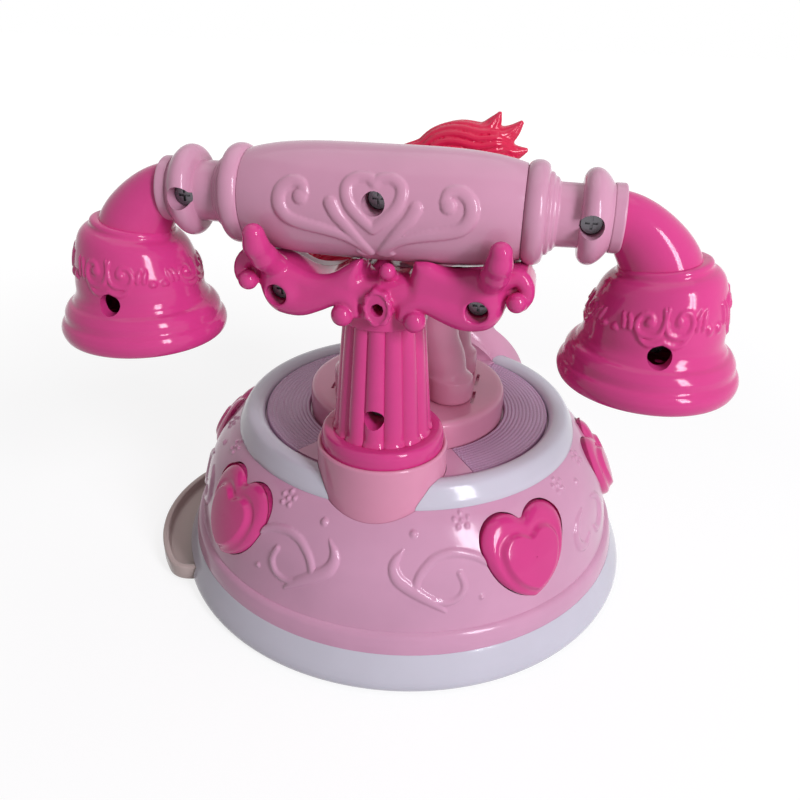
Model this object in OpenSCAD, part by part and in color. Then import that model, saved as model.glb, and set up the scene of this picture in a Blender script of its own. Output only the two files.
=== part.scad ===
// Princess-style toy telephone: a round base with heart buttons, a dial, a
// fluted column with a scroll cradle, and a handset with two bell ends.
// Millimetres. +Z is up, X runs along the handset and +Y is the column side.
// The origin is the centre of the base on the table.

/* [Foot ring and dome] */
// Widest radius of the foot ring
foot_r = 83; // [80:0.5:90]
// Height of the foot ring
foot_h = 12.6; // [10:0.2:15]
// Radius of the dome where it stands on the foot ring
dome_r = 79; // [76:0.5:82]
// Radius of the dome where it meets the upper ring
shoulder_r = 60.5; // [59:0.5:64]
// Height of the dome between the foot ring and the upper ring
dome_h = 40.1; // [36:0.2:46]
// Wall of the moulded shells
wall = 2.4; // [1.8:0.1:3]
// Height of the upper ring above the dome
ring_h = 7; // [5:0.2:9]
// Width of the upper ring
ring_w = 9.5; // [8:0.1:11]

/* [Deck] */
// Radius of the round stage
stage_r = 34.7; // [30:0.1:35.5]
// Height of the stage above the deck
stage_h = 11; // [8:0.2:14]
// Gap between the stage and the two lenses
stage_gap = 1.5; // [0.8:0.1:2]
// Height of the lenses above the deck
lens_h = 2.2; // [1.6:0.1:3]
// Distance between the ribs of a lens
rib_pitch = 1.6; // [1.2:0.1:2.4]
// Half of the angle of the wedge between the lenses
wedge_half = 34; // [24:1:40]

/* [Heart buttons] */
// Width of a heart button
heart_w = 31.5; // [26:0.5:34]
// How far a heart button stands out of the dome
heart_out = 2.6; // [1.5:0.1:4]
// Width of the raised heart on a button
inner_heart_w = 21.5; // [16:0.5:24]

/* [Column] */
// Distance of the column from the centre of the base
column_y = 43.8; // [42:0.2:46]
// Outer radius of the cup that holds the column
cup_r = 20.2; // [19.5:0.1:21.5]
// Height of the rim of the cup above the table
cup_z = 67.6; // [64:0.2:72]
// Radius of the column over its ribs at the bottom
column_r = 14.9; // [13:0.1:15.5]
// Radius of the column over its ribs at the top
column_top_r = 11.7; // [10.5:0.1:12.5]
// Number of ribs round the column
ribs = 14; // [10:1:18]
// Height of the bottom of the cradle above the table
cradle_z = 108.5; // [104:0.5:112]

/* [Handset] */
// Distance of the handset from the centre of the base
handset_y = 45.6; // [45:0.1:47]
// Height of the handset axis above the bottom of the cradle
handset_up = 32; // [31:0.1:34]
// Radius of the grip at its middle
grip_r = 14.9; // [13:0.1:15.5]
// How much slimmer the grip is at its ends
grip_taper = 2.9; // [1.5:0.1:4]
// Half length of the grip
grip_half = 37; // [35:0.5:39]
// Distance of a bell axis from the middle
bell_x = 73.3; // [72.5:0.1:76]
// Greatest radius of a bell
bell_r = 23.9; // [21:0.1:25]
// Height of a bell, from its mouth to the lip under the elbow
bell_h = 33.5; // [32:0.5:35]
// Radius of the elbow tube
elbow_r = 7.8; // [7:0.1:8]
// Radius of the bend of the elbow
bend_r = 12.3; // [11:0.1:13]

/* [Dial] */
// How far the dial leans back
dial_tilt = 25; // [20:1:30]
// Radius of the round rim of the dial
dial_r = 31.8; // [29:0.2:33]
// Radius of the hood behind the dial
hood_r = 41; // [39:0.5:42]
// Number of finger holes
finger_holes = 10; // [8:1:10]
// Radius of a finger hole
finger_hole_r = 4.2; // [3.5:0.1:4.5]

/* [Tray] */
// Direction of the tray, seen from above
tray_angle = 12; // [8:1:16]
// Half width of the tray
tray_half = 32.6; // [28:0.2:34]
// Length of the tray
tray_len = 65; // [50:1:68]
// Height of the tray
tray_h = 5.4; // [5:0.1:5.6]
// How far the front of the tray stands out of the foot ring
tray_out = 10.2; // [4:0.1:14]
// Rim and floor of the tray
tray_wall = 2.2; // [1.6:0.1:3]

/* [Fits] */
// Clearance between pieces that are fixed to each other
fit = 0.15; // [0.1:0.05:0.3]
// Clearance round pieces that move
run = 0.35; // [0.3:0.05:0.5]

/* [Screws] */
// Radius of the hole above a screw head
well_r = 3; // [2.6:0.1:3.4]
// Radius of a screw head
head_r = 2.6; // [2.2:0.1:2.8]
// Radius of a screw shank
shank_r = 1.2; // [1:0.1:1.4]

/* [Hidden] */
$fn = 64;
e = 0.01;
far = 200;

base_pink = "#f0b7d6";
pale_pink = "#f3c3da";
hot_pink = "#e0479f";
pearl = "#eceaf2";
lilac = "#c9a4d6";
flesh_pink = "#eeb3c8";
cream = "#e9dfd2";
crimson = "#d92b5c";
steel = "#b9bcc2";
board_green = "#2f7a4f";
dark = "#3a3a3f";

dome_top = foot_h + dome_h;
deck_r = shoulder_r + fit - ring_w;
flange_in = deck_r - 3.2;
deck_t = 1.8;
deck_z = dome_top + 1.5;
deck_top = deck_z + deck_t;
lens_in = stage_r + stage_gap;
lens_out = deck_r - 0.3;
lamp_r = 2.5;
lamp_boss_r = lamp_r + 1.5;
lamp_ring = min((lens_in + lens_out) / 2, flange_in - lamp_boss_r - run);
lens_slope = 0.5;
stage_top = deck_top + stage_h;
pad_skin = 1.0;
plate_z = 1.0;
plate_t = 2.2;
plate_top = plate_z + plate_t;
plate_r = foot_r - 2.6 - wall - 0.2;
post_r = 4;
post_ring = shoulder_r - 8.5;
post_angles = [60, 132, 222, 323];
post_z = 8;
pads = [50, 105, 180, 255, 295];
pad_r = 4.5;
pad_ring = plate_r - pad_r - 2.8;

heart_tilt = 24;
heart_z = foot_h + dome_h * 0.6;
heart_angles = [48.7, 132.5, 186, -6];
heart_depth = 7;
heart_lip = 1.6;
heart_curve = 50;
inner_heart_drop = 1.5;

column_z = cup_z - 9;
collar_r = cup_r - 1.3;
collar_top = cup_z + 5;
column_h = cradle_z + 1 - collar_top + 1.5;
core_wall = 2.2;
column_screw_z = cup_z + 13.5;
switch_z = cradle_z - 14;

cradle_depth = 10.6;
saddle_r = grip_r + run + 0.05;
handset_z = cradle_z + handset_up;
grip_screw_z = handset_z + 2.8;
plunger_r = 2.6;
plunger_top = handset_z - grip_r - run;
boss_at = [27.2, 8.1];
upper_arm = [[3, 13.2, 4], [12, 12.6, 4.6], [20.8, 12.3, 5], [29.5, 13, 4.2], [36.6, 11, 3.8]];
lower_arm = [[27.2, 8.1, 7.2], [20, 6.2, 5.4], [13.2, 4.5, 4], [10, 3.2, 3.2]];
bell_z = handset_z - bend_r - bell_h + 1.8;
bell_screw_z = bell_z + bell_h * 0.45;
mouth_r = bell_r - 5.8;
grille_z = 0.8;
grille_t = 2.2;
clamp_x = grip_half + 17;
clamp_r = 11.8;
clamp_screw_x = clamp_x - 0.7;
socket_x = clamp_x + 2.4;
sleeve_end = clamp_x + 6.6;
elbow_x = bell_x - bend_r;

dial_y = -60.9;
dial_z = 49;
dial_rim = 6;
hood_z = dome_top - wall;
hood_drop = 8;
hood_depth = 14;
dial_depth = 12;
wheel_r = dial_r - 2.6;
wheel_z = 2.6;
wheel_t = 2.6;
hub_r = 8.5;
first_hole = 50;
stop_angle = -20;
post_pin = 3;
stop_z = wheel_z + wheel_t + run;
stop_in = wheel_r - 12;
stop_out = dial_r - 0.8;
stop_w = 3.2;

tray_front = foot_r + tray_out;
tray_back = tray_front - tray_len;
tray_z = 1.8;
tray_arc = 56;
tray_corner = 9;
tray_in = 9.6;

cell_r = 7.2;
cell_l = 50;
cell_gap = 0.8;
bay_x = -35;
bay_l = cell_l + 4;
bay_w = 6 * cell_r + 2 * cell_gap + 5.2;
bay_h = 2 * cell_r + 2.6;
contact_w = 2 * cell_r - 4.4;
contact_h = bay_h - 6;
speaker_at = [-8, 52];
speaker_r = 17;
switch_at = [-26, -48];

// ---- curves -------------------------------------------------------------

// Point of a smooth curve from b to c, with neighbours a and d
function curve_point(a, b, c, d, t) =
    0.5 * (2 * b + (c - a) * t + (2 * a - 5 * b + 4 * c - d) * t * t
    + (3 * b - a - 3 * c + d) * t * t * t);

// Smooth curve through the points p, with n steps from point to point
function smooth(p, n) = [
    for (i = [0 : len(p) - 2])
        for (k = [0 : n - 1])
            curve_point(p[max(i - 1, 0)], p[i], p[i + 1], p[min(i + 2, len(p) - 1)], k / n),
    p[len(p) - 1]
];

// Left-hand side of a curve at its point i
function side(p, i) =
    let (a = p[max(i - 1, 0)], b = p[min(i + 1, len(p) - 1)], u = (b - a) / norm(b - a))
    [-u[1], u[0]];

// The same curve, moved to its left by d
function inset(p, d) = [for (i = [0 : len(p) - 1]) p[i] + d * side(p, i)];

function reverse(p) = [for (i = [len(p) - 1 : -1 : 0]) p[i]];

// Radius of the dome at a share u of its width and v of its height
function dome_point(u, v) = [shoulder_r + (dome_r - shoulder_r) * u, foot_h + dome_h * v];

function dome_band() = [
    dome_point(1, 0), dome_point(0.98, 0.06), dome_point(0.94, 0.14), dome_point(0.905, 0.157)
];

function dome_body(n) = smooth([
    dome_point(0.855, 0.165), dome_point(0.78, 0.33), dome_point(0.71, 0.48),
    dome_point(0.615, 0.63), dome_point(0.45, 0.78), dome_point(0.2, 0.92), dome_point(0, 1)
], n);

function foot_outline() = smooth([
    [foot_r - 2.6, 0], [foot_r - 0.8, foot_h * 0.07], [foot_r, foot_h * 0.26],
    [foot_r - 0.7, foot_h * 0.5], [foot_r - 2.1, foot_h * 0.74],
    [max(foot_r - 3.4, dome_r + 0.4), foot_h * 0.92], [dome_r + 0.3, foot_h]
], 3);

// ---- places -------------------------------------------------------------

module at_dial() {
    translate([0, dial_y, dial_z]) rotate([90 - dial_tilt, 0, 0]) children();
}

// Round hole for the body of the dial
module dial_hole() {
    at_dial() translate([0, 0, -dial_depth - fit]) cylinder(r = dial_r + fit, h = 60);
}

module at_heart(a, s = 0) {
    r = shoulder_r + (dome_r - shoulder_r) * 0.64;
    rotate([0, 0, a]) translate([r, 0, heart_z]) rotate([0, 90 - heart_tilt, 0])
        rotate([0, 0, 90]) translate([0, 0, s]) children();
}

module at_tray() {
    rotate([0, 0, tray_angle]) children();
}

module at_column() {
    translate([0, column_y, 0]) children();
}

module at_speaker(z) {
    translate([speaker_at[0], speaker_at[1], z]) children();
}

module at_switch(z) {
    translate([switch_at[0], switch_at[1], z]) children();
}

// Turns a shape drawn along +Z so that it runs along X through the handset
module at_handset() {
    translate([0, handset_y, handset_z]) rotate([0, 90, 0]) children();
}

// Puts a screw or a hole with its mouth to the rear at x, y, z
module from_rear(x, y, z) {
    translate([x, y, z]) rotate([-90, 0, 0]) children();
}

module rear_half(y) {
    intersection() {
        children();
        translate([-far, y, -far]) cube([2 * far, far, 3 * far]);
    }
}

module front_half(y) {
    intersection() {
        children();
        translate([-far, y - far, -far]) cube([2 * far, far, 3 * far]);
    }
}

// ---- fasteners ----------------------------------------------------------

// Screw with its head from z = 0 up and its shank below
module screw(l) {
    difference() {
        union() {
            cylinder(r = head_r, h = 1.8, $fn = 32);
            translate([0, 0, -l]) cylinder(r = shank_r, h = l + e, $fn = 32);
        }
        for (a = [0, 90])
            rotate([0, 0, a]) translate([-1.6, -0.35, 0.9]) cube([3.2, 0.7, 2]);
    }
}

// Hole that the head drops down, and the clear hole under it
module screw_well(depth, ledge) {
    cylinder(r = well_r, h = depth, $fn = 32);
    translate([0, 0, -ledge - e]) cylinder(r = shank_r + 0.2, h = ledge + 2 * e, $fn = 32);
}

// ---- base ---------------------------------------------------------------

module tray_slot() {
    at_tray() translate([tray_back - tray_in - run, -tray_half - run, tray_z - run])
        cube([far, 2 * (tray_half + run), tray_h + 2 * run]);
}

module foot_ring() color(pearl) difference() {
    rotate_extrude($fn = 180) polygon(concat(foot_outline(), [
        [dome_r - wall, foot_h], [dome_r - wall, foot_h * 0.7],
        [foot_r - 2.6 - wall, foot_h * 0.55], [foot_r - 2.6 - wall, 0]
    ]));
    at_tray() translate([60, -tray_half - run - 0.4, -1])
        cube([60, 2 * (tray_half + run + 0.4), tray_z + tray_h + run + 1]);
}

module heart_pocket(a) {
    at_heart(a, -heart_depth - 4) linear_extrude(height = heart_depth + 14)
        heart_outline(heart_w + 2 * run);
}

module dome_shell() color(base_pink) difference() {
    union() {
        rotate_extrude($fn = 180) difference() {
            polygon(concat(
                dome_band(), dome_body(3),
                [[flange_in, dome_top], [flange_in, dome_top - wall]],
                reverse(inset(dome_body(3), wall)), reverse(inset(dome_band(), wall))
            ));
            translate([0, foot_h - 5]) square([foot_r, 5]);
        }
        for (a = post_angles)
            rotate([0, 0, a]) translate([post_ring, 0, post_z])
                cylinder(r = post_r, h = dome_top - wall - post_z + 1);
    }
    for (a = post_angles)
        rotate([0, 0, a]) translate([post_ring, 0, post_z - e])
            cylinder(r = shank_r + 0.05, h = 16);
    for (a = heart_angles) heart_pocket(a);
    at_column() translate([0, 0, dome_top - 20]) cylinder(r = cup_r + fit, h = 40);
    dial_hole();
    hood_space();
}

module upper_ring() color(pearl) difference() {
    rotate_extrude($fn = 180) difference() {
        polygon(concat(
            smooth([
                [shoulder_r + 0.1, dome_top], [shoulder_r - 0.9, dome_top + ring_h * 0.45],
                [shoulder_r - 2.9, dome_top + ring_h * 0.9], [shoulder_r - 5.2, dome_top + ring_h],
                [shoulder_r - 7.4, dome_top + ring_h * 0.93],
                [shoulder_r - ring_w + 0.3, dome_top + ring_h * 0.7]
            ], 3),
            [[shoulder_r - ring_w + 0.3, dome_top]]
        ));
        translate([shoulder_r - ring_w + 2.4, dome_top - e])
            square([ring_w - 4.8, ring_h * 0.55]);
    }
    at_column() translate([0, 0, dome_top - 5]) cylinder(r = cup_r + fit, h = 40);
    dial_hole();
    hood_space();
}

module top_deck() color(base_pink) difference() {
    union() {
        translate([0, 0, deck_z]) cylinder(r = deck_r, h = deck_t, $fn = 180);
        rotate_extrude($fn = 180)
            translate([deck_r - 3.4, dome_top]) square([3.4, deck_z - dome_top + e]);
        for (a = [90, 270])
            rotate_extrude(start = a - wedge_half, angle = 2 * wedge_half)
                translate([lens_in, deck_top - e]) square([lens_out - lens_in, lens_h]);
        for (p = lamp_places())
            translate([p[0], p[1], deck_z - 3.5]) cylinder(r = lamp_boss_r, h = 3.6);
    }
    for (p = lamp_places())
        translate([p[0], p[1], deck_z - 4]) cylinder(r = lamp_r + fit, h = 8);
    at_column() translate([0, 0, deck_z - 5]) cylinder(r = cup_r + fit, h = 30);
    dial_hole();
    hood_space();
}

function lamp_places() = [
    for (a = [-12, 30, 150, 192])
        [lamp_ring * cos(a), lamp_ring * sin(a)]
];

// Ribbed sector of a lens, from angle a over an angle w
module lens(a, w) {
    n = floor((lens_out - lens_in) / rib_pitch);
    p = (lens_out - lens_in) / n;
    rotate_extrude(start = a, angle = w)
        polygon(concat(
            [[lens_out, deck_top + 0.1], [lens_in, deck_top + 0.1]],
            [for (i = [0 : 2 * n])
                [lens_in + i * p / 2, deck_top + lens_h - (i % 2 == 0 ? lens_slope : 0)]]
        ));
}

module lens_left() color(lilac) difference() {
    lens(-90 + wedge_half + 0.6, 180 - 2 * wedge_half - 1.2);
    hood_space();
    dial_hole();
    at_column() translate([0, 0, deck_z]) cylinder(r = cup_r + fit, h = 30);
}

module lens_right() color(lilac) difference() {
    lens(90 + wedge_half + 0.6, 180 - 2 * wedge_half - 1.2);
    hood_space();
    dial_hole();
    at_column() translate([0, 0, deck_z]) cylinder(r = cup_r + fit, h = 30);
}

module led_lamps() color("white") for (p = lamp_places())
    translate([p[0], p[1], deck_z - 4.6]) {
        cylinder(r = lamp_r + 0.4, h = 1, $fn = 32);
        cylinder(r = lamp_r, h = 4, $fn = 32);
        translate([0, 0, 4]) sphere(r = lamp_r, $fn = 32);
    }

module stage_disc() color(flesh_pink) difference() {
    rotate_extrude($fn = 120) difference() {
        polygon([
            [0, deck_top], [stage_r, deck_top], [stage_r, stage_top - 1.4],
            [stage_r - 0.4, stage_top - 0.4], [stage_r - 1.4, stage_top], [0, stage_top]
        ]);
        translate([-e, deck_top - e]) square([stage_r - wall, stage_h - wall]);
    }
    for (a = [16, 164])
        rotate_extrude(start = a - 12, angle = 24)
            translate([26.2, stage_top - 1.2]) square([1.2, 2]);
    at_column() translate([0, 0, deck_z - 5]) cylinder(r = cup_r + fit, h = 60);
}

module rear_cup() color(flesh_pink) at_column() difference() {
    z0 = dome_top - 9;
    translate([0, 0, z0]) cylinder(r = cup_r, h = cup_z - z0, $fn = 120);
    translate([0, 0, column_z]) cylinder(r = collar_r + fit, h = far, $fn = 120);
    translate([0, 0, z0 - e]) cylinder(r = collar_r - 3, h = far);
}

module plate_box(x, y, w, d, h) {
    translate([x - w / 2, y - d / 2, plate_z]) cube([w, d, h]);
}

module base_plate() color(base_pink) difference() {
    union() {
        translate([0, 0, plate_z]) cylinder(r = plate_r, h = plate_t, $fn = 180);
        intersection() {
            at_tray() translate([tray_back - tray_in - run - 1.6, -tray_half - 2.4, plate_z - 0.7])
                cube([80, 2 * tray_half + 4.8, tray_z + tray_h + run + 1.6 - plate_z + 0.7]);
            cylinder(r = plate_r - 2, h = 30, $fn = 180);
        }
        plate_box(bay_x, 0, bay_l + 4, bay_w + 4, bay_h + 1.6);
        at_speaker(plate_z) cylinder(r = speaker_r + 1.5, h = 6);
        for (a = post_angles)
            rotate([0, 0, a]) translate([post_ring, 0, plate_z])
                cylinder(r = post_r + 1, h = post_z - plate_z);
    }
    tray_slot();
    at_tray() translate([60, -tray_half - run, -e])
        cube([60, 2 * (tray_half + run), tray_z + 1]);
    at_tray() translate([tray_back - tray_in - run, -tray_half + 3.4, -e])
        cube([far, 2 * (tray_half - 3.4), tray_z + 1]);
    translate([bay_x - bay_l / 2, -bay_w / 2, plate_z - e]) cube([bay_l, bay_w, bay_h]);
    translate([bay_x - bay_l / 2 - 2, -bay_w / 2 - 2, plate_z - e])
        cube([bay_l + 4, bay_w + 4, 1.5]);
    at_speaker(plate_top) cylinder(r = speaker_r, h = 10);
    at_speaker(-e) for (a = [0 : 60 : 300])
        translate([8 * cos(a), 8 * sin(a), 0]) cylinder(r = 1.5, h = 9, $fn = 24);
    for (a = post_angles)
        rotate([0, 0, a]) translate([post_ring, 0, 5.4]) rotate([180, 0, 0]) {
            cylinder(r = well_r, h = 10, $fn = 32);
            translate([0, 0, -5]) cylinder(r = shank_r + 0.2, h = 6, $fn = 32);
        }
    for (a = pads)
        rotate([0, 0, a]) translate([pad_ring, 0, -e])
            cylinder(r = pad_r + fit, h = plate_top - pad_skin);
    at_switch(plate_z - e) cube([14, 5, 9]);
    at_switch(plate_z - e) translate([-1.5, -1.5, 0]) cube([17, 8, 0.8]);
}

module battery_door() color(base_pink) union() {
    translate([bay_x - bay_l / 2 - 2 + fit, -bay_w / 2 - 2 + fit, plate_z])
        cube([bay_l + 4 - 2 * fit, bay_w + 4 - 2 * fit, 1.3]);
    translate([bay_x - bay_l / 2 + 1, -bay_w / 2 + 1, plate_z + 1.3 - e])
        cube([bay_l - 2, bay_w - 2, 0.7]);
}

module battery_cells() color(steel) for (i = [-1, 0, 1])
    translate([bay_x - cell_l / 2, i * (2 * cell_r + cell_gap), plate_z + 2 + cell_r + 0.2])
        rotate([0, 90, 0]) {
            cylinder(r = cell_r, h = cell_l - 1.2);
            cylinder(r = 2.7, h = cell_l, $fn = 32);
        }

module battery_contacts() color(steel) for (s = [-1, 1], i = [-1, 0, 1])
    translate([bay_x + s * (bay_l / 2 - 0.95) - 0.6, i * (2 * cell_r + cell_gap) - contact_w / 2, plate_z + 4])
        cube([1.2, contact_w, contact_h]);

module circuit_board() color(board_green) at_tray() union() {
    z = tray_z + tray_h + run + 1.6;
    translate([24, -17, z + 3]) cube([38, 34, 1.6]);
    for (x = [27, 59], y = [-14, 14])
        translate([x, y, z]) cylinder(r = 2, h = 3 + e, $fn = 32);
    translate([38, -6, z + 4.6 - e]) cube([10, 12, 1.6]);
}

module base_speaker() color(dark) at_speaker(plate_top) rotate_extrude() polygon([
    [0, 0.6], [10, 1], [speaker_r - 1.6, 0.1], [speaker_r - 0.2, 0.1], [speaker_r - 0.2, 3.4],
    [speaker_r - 3, 4.2], [9, 7.5], [9, 11], [0, 11]
]);

module power_switch() color(dark) {
    at_switch(plate_z + 0.3) translate([0.4, 0.8, 0]) cube([5, 3.4, 3]);
    at_switch(plate_top + 0.1) translate([0.4, 0.5, 0]) cube([6.5, 4, 1.8]);
}

module rubber_feet() color(dark) for (a = pads)
    rotate([0, 0, a]) translate([pad_ring, 0, 0]) cylinder(r = pad_r, h = plate_top - pad_skin - e);

module base_screws() color(steel) for (a = post_angles)
    rotate([0, 0, a]) translate([post_ring, 0, 5.4 - 2 * e]) rotate([180, 0, 0]) screw(14);

// ---- heart buttons ------------------------------------------------------

// Right-hand side of a heart of width w: a round lobe, a bowed side and a round tip
function heart_side(w) =
    let (
        r = 0.267 * w, lobe = [w / 2 - r, 0.24 * w], t = 0.07 * w, tip = [0, -0.327 * w],
        bow = 0.73 * w, m = bow - r, n = bow - t, d = norm(lobe - tip),
        u = (tip - lobe) / d, l = (m * m - n * n + d * d) / (2 * d), h = sqrt(m * m - l * l),
        c = lobe + l * u + h * [u[1], -u[0]],
        a0 = 180 - acos(lobe[0] / r),
        a1 = atan2(lobe[1] - c[1], lobe[0] - c[0]),
        a2 = atan2(tip[1] - c[1], tip[0] - c[0])
    )
    concat(
        [for (i = [0 : 11]) let (a = a0 + (a1 - a0) * i / 11) lobe + r * [cos(a), sin(a)]],
        [for (i = [1 : 7]) let (a = a1 + (a2 - a1) * i / 7) c + bow * [cos(a), sin(a)]],
        [for (i = [1 : 3]) let (a = a2 + (-90 - a2) * i / 3) tip + t * [cos(a), sin(a)]]
    );

module heart_outline(w) {
    p = heart_side(w);
    polygon(concat(p, [for (i = [len(p) - 2 : -1 : 1]) [-p[i][0], p[i][1]]]));
}

// Heart of width w whose top is a cap that stands d out of the dome
module heart_cap(w, d) {
    intersection() {
        translate([0, 0, -heart_depth]) linear_extrude(height = 20) heart_outline(w);
        translate([0, 0, d - heart_curve]) sphere(r = heart_curve, $fn = 96);
    }
}

module heart_button(i) color(hot_pink) at_heart(heart_angles[i - 1]) {
    heart_cap(heart_w, heart_out);
    translate([0, -inner_heart_drop, 0]) heart_cap(inner_heart_w, heart_out + 0.9);
    translate([0, 0, -heart_depth - heart_lip]) linear_extrude(height = heart_lip + e)
        heart_outline(heart_w + 3);
}

// ---- column and cradle --------------------------------------------------

// One rib of the column, a slim cone that leans in
module column_rib(a) {
    r1 = column_r * sin(180 / ribs) * 0.96;
    r2 = column_top_r * sin(180 / ribs) * 0.96;
    lean = atan2((column_r - r1) - (column_top_r - r2), column_h);
    rotate([0, 0, a]) translate([column_r - r1, 0, collar_top - 1.5]) rotate([0, -lean, 0])
        cylinder(r1 = r1, r2 = r2, h = column_h / cos(lean), $fn = 32);
}

module column_body() {
    v1 = column_r * (1 - sin(180 / ribs) * 0.96) + 1.2;
    v2 = column_top_r * (1 - sin(180 / ribs) * 0.96) + 0.9;
    difference() {
        union() {
            for (k = [0 : ribs - 1]) column_rib(90 + k * 360 / ribs);
            translate([0, 0, collar_top - 1.5]) cylinder(r1 = v1, r2 = v2, h = column_h);
            rotate_extrude($fn = 120) polygon([
                [0, column_z], [collar_r, column_z], [collar_r, collar_top - 1.4],
                [collar_r - 0.5, collar_top - 0.4], [collar_r - 1.6, collar_top], [0, collar_top]
            ]);
        }
        translate([0, 0, column_z - e]) cylinder(r = column_r - 4.5, h = collar_top - column_z);
        translate([0, 0, collar_top - 2])
            cylinder(r1 = v1 - core_wall - 1, r2 = v2 - core_wall, h = column_h + 2);
    }
}

module column_rear() color(hot_pink) difference() {
    union() {
        rear_half(column_y) at_column() column_body();
        rear_half(column_y + 1.2) from_rear(0, column_y + 1.2, column_screw_z)
            cylinder(r = well_r + 1.2, h = column_r - 4);
    }
    from_rear(0, column_y + 4, column_screw_z) screw_well(far, 4);
}

module column_front() color(hot_pink) difference() {
    union() {
        front_half(column_y) at_column() column_body();
        translate([0, column_y + 1, column_screw_z]) rotate([90, 0, 0])
            cylinder(r = 2.6, h = column_r - 3.4);
        front_half(column_y - 1.5) at_column() translate([0, 0, switch_z - 2])
            cylinder(r = column_top_r - 1.2, h = 2);
    }
    translate([0, column_y + 1 + e, column_screw_z]) rotate([90, 0, 0])
        cylinder(r = shank_r + 0.05, h = column_r - 5.4, $fn = 32);
}

module column_screw() color(steel)
    from_rear(0, column_y + 4 + e, column_screw_z) screw(11);

module hook_switch() color(dark) at_column() {
    translate([-4, -6, switch_z + e]) cube([8, 4.4, 6]);
    translate([-2.5, -1.7, switch_z + 4.6]) cube([5, 4.5, 0.8]);
}

module hook_plunger() color(hot_pink) translate([0, handset_y, 0]) {
    z0 = switch_z + 8.4;
    translate([0, 0, z0]) cylinder(r = plunger_r, h = plunger_top - 2 - z0, $fn = 48);
    translate([0, 0, plunger_top - 3.2]) cylinder(r1 = 3, r2 = 3.6, h = 1.2, $fn = 48);
    translate([0, 0, plunger_top - 2]) cylinder(r1 = 3.6, r2 = 1.6, h = 2, $fn = 48);
}

// Round-nosed peg that stands on the middle plane of the cradle
module knob(x, z, r, depth, n) {
    translate([x, handset_y, cradle_z + z]) rotate([-90, 0, 0]) {
        cylinder(r = r, h = depth - r, $fn = n);
        translate([0, 0, depth - r]) sphere(r = r, $fn = n);
    }
}

// Soft limb of the cradle between two knobs, each [x, z, r]
module limb(a, b, depth, n) {
    hull() {
        knob(a[0], a[1], a[2], depth, n);
        knob(b[0], b[1], b[2], depth, n);
    }
}

module cradle_arms(depth, n) {
    for (s = [0, 1]) mirror([s, 0, 0]) {
        for (i = [0 : len(upper_arm) - 2]) limb(upper_arm[i], upper_arm[i + 1], depth, n);
        for (i = [0 : len(lower_arm) - 2]) limb(lower_arm[i], lower_arm[i + 1], depth, n);
    }
    hull() {
        for (x = [-20, 20]) knob(x, 8.6, 4.4, depth - 1.5, n);
        knob(0, 4.6, 5, depth - 1.5, n);
    }
}

module cradle_cuts() {
    at_handset() translate([0, 0, -60]) cylinder(r = saddle_r, h = 120, $fn = 96);
    translate([0, handset_y, cradle_z - 10]) cylinder(r = plunger_r + run, h = 40, $fn = 32);
    translate([0, handset_y, plunger_top - 3.4 - 3]) cylinder(r = 4, h = 20, $fn = 32);
    at_column() translate([0, 0, cradle_z - 20])
        cylinder(r = column_top_r - 0.9, h = 22.5, $fn = 64);
}

module cradle_rear() color(hot_pink) difference() {
    union() {
        rear_half(handset_y) cradle_arms(cradle_depth, 20);
        for (s = [-1, 1]) hull() {
            translate([s * 30.4, handset_y + 11, cradle_z + 13]) sphere(r = 4, $fn = 20);
            translate([s * 30.8, handset_y + 17.4, cradle_z + 17.5]) sphere(r = 3.4, $fn = 20);
            translate([s * 31.4, handset_y + 18, cradle_z + 22.5]) sphere(r = 3.4, $fn = 20);
        }
        rear_half(handset_y) knob(0, 6.4, 4.4, cradle_depth + 0.9, 20);
    }
    cradle_cuts();
    for (s = [-1, 1]) from_rear(s * boss_at[0], handset_y + 5, cradle_z + boss_at[1])
        screw_well(far, 6);
}

module cradle_front() color(pale_pink) difference() {
    front_half(handset_y) translate([0, 2 * handset_y, 0]) mirror([0, 1, 0])
        cradle_arms(cradle_depth - 0.6, 16);
    cradle_cuts();
    for (s = [-1, 1]) translate([s * boss_at[0], handset_y + e, cradle_z + boss_at[1]])
        rotate([90, 0, 0]) cylinder(r = shank_r + 0.1, h = 7, $fn = 24);
}

module cradle_screws() color(steel) for (s = [-1, 1])
    from_rear(s * boss_at[0], handset_y + 5 + e, cradle_z + boss_at[1]) screw(11);

// ---- handset ------------------------------------------------------------

function grip_line(d) = [
    for (i = [-10 : 10])
        let (x = grip_half * i / 10) [grip_r - grip_taper * pow(abs(i) / 10, 4) - d, x]
];

// Half outline of the handset, from the middle out, turned about its axis
module handset_outline() {
    polygon(concat([[0, -grip_half]], grip_line(0), [[0, grip_half]]));
    for (s = [0, 1]) mirror([0, s]) {
        translate([0, grip_half - 1]) square([10.2, 10]);
        translate([grip_r - grip_taper - 2, grip_half + 2.4]) circle(r = 2.9, $fn = 48);
        translate([0, grip_half - 0.4]) square([grip_r - grip_taper - 2, 5.6]);
        translate([0, grip_half + 8]) square([8, sleeve_end - grip_half - 8]);
        translate([clamp_r - 4.1, clamp_x]) circle(r = 4.1, $fn = 64);
        translate([0, clamp_x - 4.1]) square([clamp_r - 4.1, 8.2]);
        translate([8, sleeve_end - 1.4]) circle(r = 1.2, $fn = 32);
    }
}

module handset_cavity() {
    polygon(concat([[-e, -grip_half]], grip_line(wall), [[-e, grip_half]]));
    for (s = [0, 1]) mirror([0, s]) {
        translate([-e, grip_half - 1]) square([3, 30]);
        translate([-e, socket_x]) square([elbow_r - 2 + fit, 20]);
    }
}

module handset_solid() {
    at_handset() rotate_extrude($fn = 96) difference() {
        handset_outline();
        handset_cavity();
    }
}

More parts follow.
